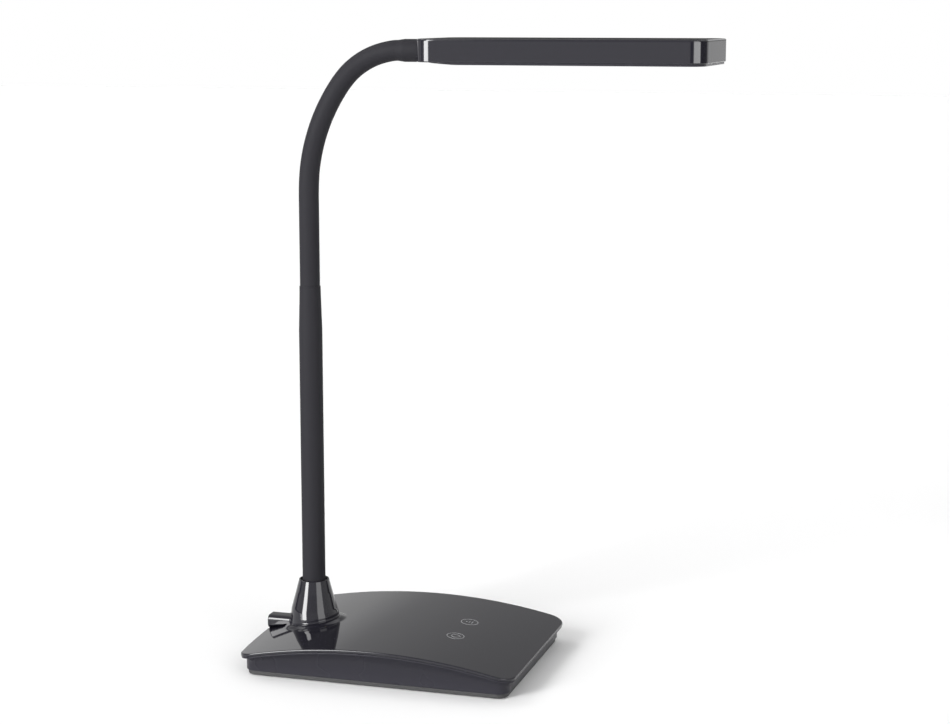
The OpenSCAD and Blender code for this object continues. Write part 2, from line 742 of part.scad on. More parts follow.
// Lowest neck piece, fixed in the sleeve, with a socket at its top
module neck_root_skin() color(soft_black) translate([arm_x, 0, tube_top]) difference() {
    cylinder(r = neck_r, h = lean_z - rim_back - tube_top);
    translate([0, 0, lean_z - tube_top]) sphere(r = socket_r);
    translate([0, 0, -1]) cylinder(r = core_r + tight_gap, h = lean_z - tube_top);
}

module neck_root_core() color(steel) translate([arm_x, 0, tube_top - ferrule_len + 2]) difference() {
    core_h = lean_z - socket_r - core_top_room - tube_top + ferrule_len - 2;
    cylinder(r = core_r, h = core_h);
    translate([0, 0, -1]) cylinder(r = core_bore_r, h = core_h + 2);
}

// One flexible piece: a ball round its lower pivot and a socket round the next one, len above it
module skin_piece(len, shoulder) color(soft_black) difference() {
    union() {
        sphere(r = ball_r);
        translate([0, 0, shoulder]) cylinder(r = neck_r, h = len - rim_back - shoulder);
    }
    translate([0, 0, len]) sphere(r = socket_r);
    translate([0, 0, -ball_r - 1]) cylinder(r = core_r + tight_gap, h = len + ball_r);
}

module core_piece(len) color(steel) translate([0, 0, -core_low]) difference() {
    core_h = len - socket_r - core_top_room + core_low;
    cylinder(r = core_r, h = core_h);
    translate([0, 0, -1]) cylinder(r = core_bore_r, h = core_h + 2);
}

// Places children at a neck piece: pieces 1 and 2 lean sideways, pieces 3 to 10 bend forwards
module at_piece(i) {
    if (i <= 2) translate([arm_x, 0, lean_z + (i - 1) * lean_pitch]) children();
    else translate([pivot_x(i - 2), 0, pivot_z(i - 2)]) rotate([0, angle_after(i - 2), 0]) children();
}

function piece_len(i) = i == 1 ? lean_pitch : i == 2 ? lean_to_bend : pitch_of(i - 2);

module neck_skin(i) at_piece(i) {
    if (i == 10) skin_end();
    else skin_piece(piece_len(i), i <= 2 ? lean_shoulder : shoulder_of(bend_of(i - 2)));
}

module neck_core(i) at_piece(i) {
    if (i == 10) core_end();
    else core_piece(piece_len(i));
}

// Last flexible piece, which runs into the cuff
module skin_end() color(soft_black) difference() {
    shoulder = shoulder_of(tight_bend);
    union() {
        difference() {
            sphere(r = ball_r);
            translate([0, 0, (shoulder + cuff_start) / 2]) cylinder(r = big, h = big);
        }
        translate([0, 0, shoulder]) cylinder(r = neck_r, h = cuff_start - shoulder);
    }
    translate([0, 0, -ball_r - 1]) cylinder(r = core_r + tight_gap, h = big);
}

module core_end() color(steel) translate([0, 0, -core_low]) difference() {
    core_h = core_low + cuff_start + cuff_len - pin_back - pin_flange_h - 1;
    cylinder(r = core_r, h = core_h);
    translate([0, 0, -1]) cylinder(r = core_bore_r, h = core_h + 2);
}

// Cuff at the end of the neck, which holds the swivel pin
module head_cuff() color(soft_black) translate([cuff_x0, 0, end_z]) rotate([0, 90, 0]) difference() {
    rotate_extrude() polygon([
        [0, 0], [neck_r, 0], [cuff_r, cuff_chamfer], [cuff_r, cuff_len - cuff_edge],
        [cuff_r - cuff_edge, cuff_len], [0, cuff_len]]);
    translate([0, 0, -1]) cylinder(r = core_r + tight_gap, h = cuff_len);
    translate([0, 0, cuff_len - pin_back - pin_flange_h])
        cylinder(r = pin_flange_r + tight_gap, h = pin_flange_h);
    translate([0, 0, cuff_len - pin_back - eps]) cylinder(r = pin_r + tight_gap, h = big);
}

// Hollow pin that the head turns on
module swivel_pin() color(steel)
    translate([cuff_x1 - pin_back - pin_flange_h, 0, end_z]) rotate([0, 90, 0]) difference() {
        pin_len = pin_flange_h + pin_back + swivel_gap + bearing_len + pin_tail;
        union() {
            cylinder(r = pin_flange_r, h = pin_flange_h);
            cylinder(r = pin_r, h = pin_len);
        }
        translate([0, 0, -1]) cylinder(r = pin_bore_r, h = pin_len + 2);
    }

swivel_face_x = head_x0 + bearing_len + nut_room;

// Friction washer and nut on the pin's end inside the head
module swivel_washer() color(zinc) translate([swivel_face_x, 0, end_z]) rotate([0, 90, 0]) difference() {
    cylinder(r = pin_r + swivel_rim, h = swivel_washer_h);
    translate([0, 0, -1]) cylinder(r = pin_r + tight_gap, h = swivel_washer_h + 2);
}

module swivel_nut() color(zinc) translate([swivel_face_x + swivel_washer_h, 0, end_z]) rotate([0, 90, 0])
    difference() {
        cylinder(r = pin_r + swivel_rim, h = swivel_nut_h, $fn = 6);
        translate([0, 0, -1]) cylinder(r = pin_r + tight_gap, h = swivel_nut_h + 2);
    }

module at_frame_screws() {
    for (x = frame_screw_x, y = [-frame_screw_y, frame_screw_y]) translate([x, y, 0]) children();
}

module at_board_screws() {
    for (x = board_screw_x, y = [-board_screw_y, board_screw_y]) translate([x, y, 0]) children();
}

// Upper shell of the head: a bevelled tray, open below, with the swivel's bearing and the bosses
module head_shell() color(gloss_black) difference() {
    union() {
        difference() {
            translate([head_mid_x, 0, head_z0])
                bevel_box(head_len, head_wid, head_corner, shell_h, head_bevel, head_bevel / 2);
            translate([head_mid_x, 0, head_z0 - 1])
                bevel_box(head_len - 2 * shell_wall, head_wid - 2 * shell_wall, head_corner - shell_wall,
                          shell_h + 1 - shell_wall, eps, eps);
        }
        translate([head_x0 + 1, -bearing_half, head_z0])
            cube([bearing_len - 1, 2 * bearing_half, cavity_top - head_z0 + boss_root]);
        at_frame_screws() translate([0, 0, head_z0 + frame_in_h + seat_gap])
            cylinder(r = frame_boss_r, h = cavity_top - head_z0 - frame_in_h);
        at_board_screws() translate([0, 0, cavity_top - board_boss_h])
            cylinder(r = board_boss_r, h = board_boss_h + boss_root);
    }
    translate([head_x0 - 1, 0, end_z]) rotate([0, 90, 0])
        cylinder(r = pin_r + running_gap, h = bearing_len + 2);
    at_frame_screws() translate([0, 0, head_z0])
        cylinder(r = frame_shank_r + tight_gap, h = frame_screw_len + 3);
    at_board_screws() translate([0, 0, cavity_top - board_boss_h - 1])
        cylinder(r = board_shank_r + tight_gap, h = board_boss_h + 2);
}

// Frame that closes the shell from below and holds the diffuser
module light_frame() color(satin_black) difference() {
    union() {
        translate([head_mid_x, 0, head_z0])
            bevel_box(head_len - 2 * shell_wall - 2 * seat_gap, head_wid - 2 * shell_wall - 2 * seat_gap,
                      head_corner - shell_wall - seat_gap, frame_in_h, eps, eps);
        lip_len = head_len - lip_rear - lip_inset;
        translate([head_x0 + lip_rear + lip_len / 2, 0, head_z0 - lip_h])
            bevel_box(lip_len, head_wid - 2 * lip_inset, head_corner - lip_inset, lip_h, eps, 0.4);
    }
    translate([head_x0 + lip_rear, -head_wid, head_z0 - lip_start]) rotate([0, ramp_angle, 0])
        translate([-big / 2, 0, -big]) cube([big / 2 + lip_ramp, 2 * head_wid, big]);
    translate([0, 0, head_z0 - lip_h - 1]) window(0, lip_h + frame_in_h + 2);
    translate([0, 0, head_z0]) window(frame_rebate, frame_in_h + 1);
    translate([head_x0 - 1, -bearing_half - seat_gap, head_z0 - lip_h - 1])
        cube([1 + bearing_len + seat_gap, 2 * (bearing_half + seat_gap), big]);
    translate([head_x0, -bearing_half - seat_gap, head_z0 + notch_floor])
        cube([bearing_len + pin_tail + notch_end, 2 * (bearing_half + seat_gap), big]);
    at_frame_screws() translate([0, 0, head_z0 - lip_h - 1]) {
        cylinder(r = frame_shank_r + shank_room, h = big);
        cylinder(r = frame_screw_r + seat_gap, h = 1 + lip_h + frame_screw_h + tight_gap);
    }
}

// Four screws that hold the frame to the shell's bosses
module frame_screws() color(soft_black) at_frame_screws()
    translate([0, 0, head_z0]) screw(frame_screw_r, frame_screw_h, frame_shank_r, frame_screw_len);

// Prism of the light window's outline, grown by g
module window(g, h) translate([(light_x0 + light_x1) / 2, 0, 0])
    bevel_box(light_x1 - light_x0 + 2 * g, light_wid + 2 * g, window_r + g, h, eps, eps);

// Opal plate that spreads the light, with a rim that lies in the frame's rebate
module diffuser() color(opal_white) {
    translate([0, 0, head_z0 - lip_h + diffuser_back]) window(-seat_gap, lip_h);
    translate([0, 0, head_z0 + tight_gap]) window(frame_rebate - seat_gap, diffuser_t - diffuser_back);
}

// Aluminium plate that carries away the lights' heat
module heat_plate() color([0.75, 0.76, 0.78]) difference() {
    translate([plate_x0, -plate_wid / 2, heat_plate_z])
        cube([plate_x1 - plate_x0, plate_wid, heat_t]);
    at_board_screws() cylinder(r = board_shank_r + shank_room, h = big);
}

// Board with the lights, under the heat plate
module led_board() color([0.9, 0.9, 0.88]) difference() {
    translate([plate_x0, -plate_wid / 2, led_board_z])
        cube([plate_x1 - plate_x0, plate_wid, led_board_t]);
    at_board_screws() cylinder(r = board_shank_r + shank_room, h = big);
}

// Light points in rows along the board
module led_chips() color([0.96, 0.9, 0.55]) {
    pitch_x = (plate_x1 - plate_x0 - 2 * led_end_x) / (led_cols - 1);
    pitch_y = (plate_wid - 2 * led_end_y) / (led_rows - 1);
    for (i = [0:led_cols - 1], j = [0:led_rows - 1])
        translate([plate_x0 + led_end_x + i * pitch_x - led_side / 2,
                   -plate_wid / 2 + led_end_y + j * pitch_y - led_side / 2, led_board_z - led_t])
            cube([led_side, led_side, led_t]);
}

// Four screws that hold the light board and the heat plate to the shell
module board_screws() color(zinc) at_board_screws()
    translate([0, 0, led_board_z - board_screw_h])
        screw(board_screw_r, board_screw_h, board_shank_r, heat_t + led_board_t + board_boss_h + 0.6);

// Lead from the swivel pin to the light board
module head_lead() color(lead_grey) {
    start_x = head_x0 + 3;
    turn_x = plate_x0 + 3;
    translate([start_x, 0, end_z]) rotate([0, 90, 0])
        cylinder(r = lead_r, h = turn_x - start_x, $fn = 24);
    translate([turn_x, 0, end_z]) {
        lead_bend();
        cylinder(r = lead_r, h = led_board_z - end_z - 0.1, $fn = 24);
    }
}

top_plate();
base_housing();
bottom_cover();
antislip_pad();
ballast_plate();
cover_screws();
key_marks();
touch_board();
touch_pads();
driver_board();
arm_bell();
bell_screws();
inlet_grommet();
arm_tube();
tube_washer();
tube_nut_upper();
tube_nut_lower();
tube_sleeve();
neck_ferrule();
arm_lead();
neck_root_skin();
neck_root_core();
for (i = [1:10]) neck_skin(i);
for (i = [1:10]) neck_core(i);
head_cuff();
swivel_pin();
swivel_nut();
swivel_washer();
head_shell();
light_frame();
frame_screws();
diffuser();
led_board();
led_chips();
heat_plate();
board_screws();
head_lead();
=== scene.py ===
"""Desk lamp with a flexible neck: finishes, smooth skins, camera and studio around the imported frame."""

import json
import logging
import math
from dataclasses import dataclass
from enum import Enum

import bpy
import numpy as np
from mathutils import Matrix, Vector


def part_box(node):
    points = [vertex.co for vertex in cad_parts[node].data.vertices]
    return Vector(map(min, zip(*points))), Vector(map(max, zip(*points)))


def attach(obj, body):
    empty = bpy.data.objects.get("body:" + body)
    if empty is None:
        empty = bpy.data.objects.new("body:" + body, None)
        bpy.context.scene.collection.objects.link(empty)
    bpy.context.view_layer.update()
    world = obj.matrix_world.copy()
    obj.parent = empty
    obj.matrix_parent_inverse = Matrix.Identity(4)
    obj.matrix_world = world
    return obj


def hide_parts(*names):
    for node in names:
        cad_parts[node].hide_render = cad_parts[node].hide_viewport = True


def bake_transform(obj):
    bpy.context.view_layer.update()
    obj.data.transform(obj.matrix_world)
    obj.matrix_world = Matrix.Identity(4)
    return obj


LOG = logging.getLogger("lamp")
MM = 0.001
TAU = 2.0 * math.pi
WHITE = (1.0, 1.0, 1.0, 1.0)
# Edges that turn by more than this are drawn sharp
SHARP_ANGLE = math.radians(35.0)
# Largest share of a side that the arc at one of its corners may take
ARC_SHARE = 0.48
# Place of the point that keeps a flat flat, as a multiple of the arc's reach
FLAT_REACH = 1.35
# Least square of an arc's middle weight
LEAST_WEIGHT = 1e-9
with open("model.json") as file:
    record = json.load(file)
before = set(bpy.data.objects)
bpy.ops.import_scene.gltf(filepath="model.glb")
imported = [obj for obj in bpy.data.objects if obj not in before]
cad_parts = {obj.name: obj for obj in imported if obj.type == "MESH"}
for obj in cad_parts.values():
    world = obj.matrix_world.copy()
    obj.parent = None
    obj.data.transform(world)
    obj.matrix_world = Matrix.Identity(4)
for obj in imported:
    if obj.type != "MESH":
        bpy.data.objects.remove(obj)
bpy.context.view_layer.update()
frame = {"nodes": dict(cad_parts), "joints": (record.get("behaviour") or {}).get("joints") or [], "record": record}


class Loop(Enum):
    """How the rings of a surface end."""

    CAPPED = "both ends run to a pole"
    RING = "the last ring joins the first"


# Mesh tools


def grid_faces(rows: int, columns: int, joined: bool) -> np.ndarray:
    """Corner indices of the quads between neighbouring rings.

    Face (i, j) takes columns j and j + 1 of rings i and i + 1, counted round.

    Args:
        rows: Number of rings.
        columns: Points on each ring.
        joined: Whether the last ring joins the first.

    Returns:
        An array with four indices a face.
    """
    last = rows if joined else rows - 1
    i, j = np.meshgrid(np.arange(last), np.arange(columns), indexing="ij")
    here = i * columns
    there = ((i + 1) % rows) * columns
    right = (j + 1) % columns
    return np.stack([here + j, here + right, there + right, there + j], axis=-1).reshape(-1, 4)


def ring_mesh(name: str, rings: np.ndarray, ends: Loop) -> bpy.types.Object:
    """Makes a closed smooth mesh from rings of points, in millimetres.

    Rings that don't join each other are closed by a fan to the mean of the end ring.

    Args:
        name: Name of the object.
        rings: Points, as rings by columns by three.
        ends: How the rings end.

    Returns:
        The new object, linked to the scene.
    """
    rows, columns, _ = rings.shape
    points = rings.reshape(-1, 3) * MM
    quads = grid_faces(rows, columns, ends is Loop.RING)
    fans = np.zeros((0, 3), int)
    if ends is Loop.CAPPED:
        poles = np.stack([rings[0].mean(axis=0), rings[-1].mean(axis=0)]) * MM
        first, last = len(points), len(points) + 1
        j = np.arange(columns)
        right = (j + 1) % columns
        low = np.stack([np.full(columns, first), right, j], axis=-1)
        top = (rows - 1) * columns
        high = np.stack([np.full(columns, last), top + j, top + right], axis=-1)
        points = np.concatenate([points, poles])
        fans = np.concatenate([low, high])
    mesh = bpy.data.meshes.new(name)
    corners = np.concatenate([quads.ravel(), fans.ravel()]).astype(np.int32)
    sizes = np.concatenate([np.full(len(quads), 4), np.full(len(fans), 3)]).astype(np.int32)
    starts = np.concatenate([[0], np.cumsum(sizes)[:-1]]).astype(np.int32)
    mesh.vertices.add(len(points))
    mesh.vertices.foreach_set("co", points.astype(np.float32).ravel())
    mesh.loops.add(len(corners))
    mesh.loops.foreach_set("vertex_index", corners)
    mesh.polygons.add(len(sizes))
    mesh.polygons.foreach_set("loop_start", starts)
    mesh.polygons.foreach_set("use_smooth", np.ones(len(sizes), bool))
    mesh.update(calc_edges=True)
    mesh.validate()
    return face_outwards(link(name, mesh))


def link(name: str, mesh: bpy.types.Mesh) -> bpy.types.Object:
    """Puts a mesh into the scene as an object at the origin."""
    piece = bpy.data.objects.new(name, mesh)
    bpy.context.scene.collection.objects.link(piece)
    return piece


def face_outwards(piece: bpy.types.Object) -> bpy.types.Object:
    """Turns a closed mesh the right way.

    Its signed volume, one sixth of the sum of the triangles' corner products, has to be positive.
    """
    mesh = piece.data
    mesh.calc_loop_triangles()
    count = len(mesh.loop_triangles)
    corners = np.zeros(count * 3, np.int32)
    mesh.loop_triangles.foreach_get("vertices", corners)
    points = np.zeros(len(mesh.vertices) * 3, np.float32)
    mesh.vertices.foreach_get("co", points)
    a, b, c = points.reshape(-1, 3)[corners.reshape(-1, 3)].astype(float).transpose(1, 0, 2)
    if np.einsum("ij,ij->", a, np.cross(b, c)) < 0:
        mesh.flip_normals()
    return piece


def sharpen(piece: bpy.types.Object) -> None:
    """Marks the edges that turn by more than the sharp angle."""
    piece.data.set_sharp_from_angle(angle=SHARP_ANGLE)


def rounded(points: list, radii: list, steps: int, closed: bool = False) -> np.ndarray:
    """Rounds the corners of a polyline.

    At each corner an arc of the given radius touches both sides. The arc is drawn as the quadratic
    curve through its two touching points that leans on the corner, and a point close to each touching
    point keeps the flats flat under smooth shading.

    Args:
        points: Corner points, each with two or more numbers.
        radii: Radius at each corner; 0 keeps the corner.
        steps: Segments in each arc.
        closed: Whether the last point joins the first.

    Returns:
        The rounded points as an array.
    """
    corners = np.array(points, float)
    count = len(corners)
    made: list = []
    for i, radius in enumerate(radii):
        here = corners[i]
        if radius <= 0 or (not closed and i in (0, count - 1)):
            made.append(here[None])
            continue
        back, ahead = corners[i - 1] - here, corners[(i + 1) % count] - here
        length_back, length_ahead = np.linalg.norm(back[:2]), np.linalg.norm(ahead[:2])
        back, ahead = back / length_back, ahead / length_ahead
        cosine = float(np.clip(back[:2] @ ahead[:2], -1, 1))
        reach = radius / math.tan(math.acos(cosine) / 2)
        reach = min(reach, ARC_SHARE * length_back, ARC_SHARE * length_ahead)
        t = np.linspace(0, 1, steps + 1)[:, None]
        # The middle weight makes the curve a circular arc
        weight = math.sqrt(max((1 - cosine) / 2, LEAST_WEIGHT))
        start, end = here + back * reach, here + ahead * reach
        blend = [(1 - t) ** 2, 2 * weight * t * (1 - t), t**2]
        arc = (blend[0] * start + blend[1] * here + blend[2] * end) / sum(blend)
        near_back = here + back * min(reach * FLAT_REACH, length_back / 2)
        near_ahead = here + ahead * min(reach * FLAT_REACH, length_ahead / 2)
        made.append(np.concatenate([near_back[None], arc, near_ahead[None]]))
    return np.concatenate(made)


def refine(profile: np.ndarray, longest: float) -> np.ndarray:
    """Adds evenly spaced points to a closed polyline so that no step is longer than a length.

    Args:
        profile: Points of the polyline, whose last point joins the first.
        longest: Longest step allowed.

    Returns:
        The points with the added ones.
    """
    made = []
    for start, end in zip(profile, np.roll(profile, -1, axis=0)):
        parts = max(1, math.ceil(np.linalg.norm((end - start)[:2]) / longest))
        t = np.linspace(0, 1, parts, endpoint=False)[:, None]
        made.append(start + (end - start) * t)
    return np.concatenate(made)


def smoothstep(t: np.ndarray) -> np.ndarray:
    """Rises from 0 to 1 as t does, level at both ends: 3 t squared less 2 t cubed."""
    t = np.clip(t, 0.0, 1.0)
    return t * t * (3.0 - 2.0 * t)


def between(start: np.ndarray, end: np.ndarray | float, share: float) -> np.ndarray:
    """Mixes two values: the first at a share of 0, the second at a share of 1."""
    return start * (1 - share) + end * share


def revolve(profile: np.ndarray, columns: int) -> np.ndarray:
    """Turns a profile of radius and height about the Z axis.

    Ring i holds radius i times the cosine and sine of the angle, at height i.

    Args:
        profile: Rows of radius and height.
        columns: Points round the axis.

    Returns:
        Rings of points.
    """
    angle = np.linspace(0, TAU, columns, endpoint=False)
    radius, height = profile[:, 0:1], profile[:, 1:2]
    return np.stack([radius * np.cos(angle), radius * np.sin(angle), height + 0 * angle], axis=-1)


def along_x(rings: np.ndarray, origin: tuple) -> np.ndarray:
    """Lays rings made about Z along +X instead: height becomes x, and x becomes -z."""
    x, y, z = np.moveaxis(rings, -1, 0)
    return np.stack([origin[0] + z, origin[1] + y, origin[2] - x], axis=-1)


def round_rectangle(length: float, width: float, radius: float, side: int, turn: int) -> np.ndarray:
    """Outline of a rectangle with round corners about the origin, counter-clockwise from the +X side.

    Each corner is a quarter circle, and each straight side has evenly spaced points, so that outlines
    with the same counts match point for point.

    Args:
        length: Size along X.
        width: Size along Y.
        radius: Corner radius.
        side: Points on each straight side.
        turn: Segments in each corner.

    Returns:
        The outline's points, as rows of x and y.
    """
    made = []
    middle = [(1, 1, 0), (-1, 1, 90), (-1, -1, 180), (1, -1, 270)]
    for sx, sy, start in middle:
        centre = np.array([sx * (length / 2 - radius), sy * (width / 2 - radius)])
        angle = np.radians(start + np.linspace(0, 90, turn + 1))
        made.append(centre + radius * np.stack([np.cos(angle), np.sin(angle)], axis=-1))
    whole = []
    for i, corner in enumerate(made):
        after = made[(i + 1) % 4][0]
        t = np.linspace(0, 1, side + 2)[1:-1, None]
        whole.append(np.concatenate([corner, corner[-1] + (after - corner[-1]) * t]))
    return np.concatenate(whole)


# Finishes


def node_group(name: str, inputs: dict, outputs: dict) -> tuple:
    """Starts a shader node group with named sockets.

    Args:
        name: Name of the group.
        inputs: Socket names with their default numbers.
        outputs: Socket names with their socket types.

    Returns:
        The group, its input node and its output node.
    """
    group = bpy.data.node_groups.new(name, "ShaderNodeTree")
    for label, value in inputs.items():
        socket = group.interface.new_socket(label, in_out="INPUT", socket_type="NodeSocketFloat")
        socket.default_value = value
    for label, kind in outputs.items():
        group.interface.new_socket(label, in_out="OUTPUT", socket_type=kind)
    return group, group.nodes.new("NodeGroupInput"), group.nodes.new("NodeGroupOutput")


def set_inputs(node: bpy.types.Node, values: dict) -> bpy.types.Node:
    """Sets a node's own numbers and colours by the labels of its inputs, and returns the node."""
    for label, value in values.items():
        node.inputs[label].default_value = value
    return node


def add_node(tree: bpy.types.NodeTree, kind: str, values: dict | None = None) -> bpy.types.Node:
    """Adds a node of a kind to a tree and sets its inputs."""
    return set_inputs(tree.nodes.new(kind), values or {})


def add_group(tree: bpy.types.NodeTree, group: bpy.types.NodeTree, values: dict) -> bpy.types.Node:
    """Adds a node that stands for a group, and sets its inputs."""
    node = tree.nodes.new("ShaderNodeGroup")
    node.node_tree = group
    return set_inputs(node, values)


def add_math(tree: bpy.types.NodeTree, operation: str) -> bpy.types.Node:
    """Adds a Math node with an operation."""
    node = tree.nodes.new("ShaderNodeMath")
    node.operation = operation
    return node


def make_grain() -> bpy.types.NodeTree:
    """Fine moulded grain on the object's own coordinates, and its slow change of roughness."""
    group, given, made = node_group(
        "moulded_grain",
        {"Scale": 900.0, "Rough Low": 0.4, "Rough High": 0.5},
        {"Height": "NodeSocketFloat", "Roughness": "NodeSocketFloat"},
    )
    place = add_node(group, "ShaderNodeTexCoord")
    fine = add_node(group, "ShaderNodeTexNoise", {"Detail": 2.0})
    broad = add_node(group, "ShaderNodeTexNoise", {"Scale": 22.0, "Detail": 3.0})
    spread = add_node(group, "ShaderNodeMapRange", {"From Min": 0.3, "From Max": 0.7})
    wire = group.links.new
    wire(place.outputs["Object"], fine.inputs["Vector"])
    wire(place.outputs["Object"], broad.inputs["Vector"])
    wire(given.outputs["Scale"], fine.inputs["Scale"])
    wire(broad.outputs["Fac"], spread.inputs["Value"])
    wire(given.outputs["Rough Low"], spread.inputs["To Min"])
    wire(given.outputs["Rough High"], spread.inputs["To Max"])
    wire(fine.outputs["Fac"], made.inputs["Height"])
    wire(spread.outputs["Result"], made.inputs["Roughness"])
    return group


def make_dust() -> bpy.types.NodeTree:
    """Sparse dust: specks where a cell pattern comes close to its points, on faces that look up."""
    group, given, made = node_group(
        "settled_dust",
        {"Scale": 260.0, "Amount": 0.2},
        {"Mask": "NodeSocketFloat"},
    )
    place = add_node(group, "ShaderNodeTexCoord")
    cells = add_node(group, "ShaderNodeTexVoronoi")
    near = add_node(group, "ShaderNodeMapRange", {"From Min": 0.10, "From Max": 0.02})
    shape = add_node(group, "ShaderNodeNewGeometry")
    split = add_node(group, "ShaderNodeSeparateXYZ")
    up = add_node(group, "ShaderNodeMapRange", {"From Min": 0.3, "From Max": 1.0})
    both = add_math(group, "MULTIPLY")
    amount = add_math(group, "MULTIPLY")
    wire = group.links.new
    wire(place.outputs["Object"], cells.inputs["Vector"])
    wire(given.outputs["Scale"], cells.inputs["Scale"])
    wire(cells.outputs["Distance"], near.inputs["Value"])
    wire(shape.outputs["Normal"], split.inputs["Vector"])
    wire(split.outputs["Z"], up.inputs["Value"])
    wire(near.outputs["Result"], both.inputs[0])
    wire(up.outputs["Result"], both.inputs[1])
    wire(both.outputs["Value"], amount.inputs[0])
    wire(given.outputs["Amount"], amount.inputs[1])
    wire(amount.outputs["Value"], made.inputs["Mask"])
    return group


def make_window() -> bpy.types.NodeTree:
    """A soft window in the surroundings: a level inside a range of azimuth and elevation."""
    group, given, made = node_group(
        "soft_window",
        {"Azimuth": 0.0, "Half Width": 10.0, "Elevation": 20.0, "Half Height": 10.0, "Level": 1.0},
        {"Light": "NodeSocketFloat"},
    )
    group.interface.new_socket("Direction", in_out="INPUT", socket_type="NodeSocketVector")
    wire = group.links.new
    split = add_node(group, "ShaderNodeSeparateXYZ")
    side_blur, edge_blur = 4.0, 1.0
    wire(given.outputs["Direction"], split.inputs["Vector"])

    def work(operation: str, *values: bpy.types.NodeSocket | float) -> bpy.types.NodeSocket:
        """Adds a Math node on the given sockets or numbers."""
        node = add_math(group, operation)
        for i, value in enumerate(values):
            if isinstance(value, float):
                node.inputs[i].default_value = value
            else:
                wire(value, node.inputs[i])
        return node.outputs["Value"]

    def inside(
        angle: bpy.types.NodeSocket, middle: str, half: str, blur: float
    ) -> bpy.types.NodeSocket:
        """One inside a range, nought outside: half less the distance from the middle, over the blur.

        Args:
            angle: The angle in radians.
            middle: Input that holds the range's middle in degrees.
            half: Input that holds half its size in degrees.
            blur: Width of the soft side in degrees.

        Returns:
            The share of light let in.
        """
        degrees = work("MULTIPLY", angle, math.degrees(1.0))
        away = work("ABSOLUTE", work("SUBTRACT", degrees, given.outputs[middle]))
        share = work("ADD", work("DIVIDE", work("SUBTRACT", given.outputs[half], away), blur), 0.5)
        return work("MINIMUM", work("MAXIMUM", share, 0.0), 1.0)

    turn = work("ARCTAN2", split.outputs["Y"], split.outputs["X"])
    across = inside(turn, "Azimuth", "Half Width", side_blur)
    upright = inside(work("ARCSINE", split.outputs["Z"]), "Elevation", "Half Height", edge_blur)
    share = work("MULTIPLY", across, upright)
    wire(work("MULTIPLY", share, given.outputs["Level"]), made.inputs["Light"])
    return group


# Depth in metres that light goes into an opal piece
OPAL_DEPTH = 0.002
# Dust is a pale grey over half of the finish's own colour
DUST_GREY = 0.3
DUST_OVER = 0.5


@dataclass(frozen=True)
class Finish:
    """A moulded, coated or metal finish with grain, a slow change of roughness and some dust."""

    name: str
    color: tuple
    rough_low: float
    rough_high: float
    grain_scale: float = 900.0
    grain_height: float = 0.0
    metallic: float = 0.0
    coat: float = 0.0
    specular: float = 0.5
    dust: float = 0.0
    subsurface: float = 0.0

    def build(self, groups: dict) -> bpy.types.Material:
        """Builds the material.

        Args:
            groups: The shared node groups by name.

        Returns:
            The material.
        """
        material = bpy.data.materials.new(self.name)
        material.use_nodes = True
        tree = material.node_tree
        shader = tree.nodes["Principled BSDF"]
        set_inputs(shader, {
            "Metallic": self.metallic,
            "Coat Weight": self.coat,
            "Specular IOR Level": self.specular,
            "Subsurface Weight": self.subsurface,
            "Subsurface Scale": OPAL_DEPTH,
        })
        grain = add_group(tree, groups["grain"], {
            "Scale": self.grain_scale,
            "Rough Low": self.rough_low,
            "Rough High": self.rough_high,
        })
        tree.links.new(grain.outputs["Roughness"], shader.inputs["Roughness"])
        if self.grain_height > 0:
            depth = self.grain_height * MM
            bump = add_node(tree, "ShaderNodeBump", {"Strength": 1.0, "Distance": depth})
            tree.links.new(grain.outputs["Height"], bump.inputs["Height"])
            tree.links.new(bump.outputs["Normal"], shader.inputs["Normal"])
        dust = add_group(tree, groups["dust"], {"Amount": self.dust})
        mix = tree.nodes.new("ShaderNodeMix")
        mix.data_type = "RGBA"
        dusty = (DUST_OVER * channel + DUST_GREY for channel in self.color)
        set_inputs(mix, {"A": (*self.color, 1.0), "B": (*dusty, 1.0)})
        tree.links.new(dust.outputs["Mask"], mix.inputs["Factor"])
        tree.links.new(mix.outputs["Result"], shader.inputs["Base Color"])
        return material


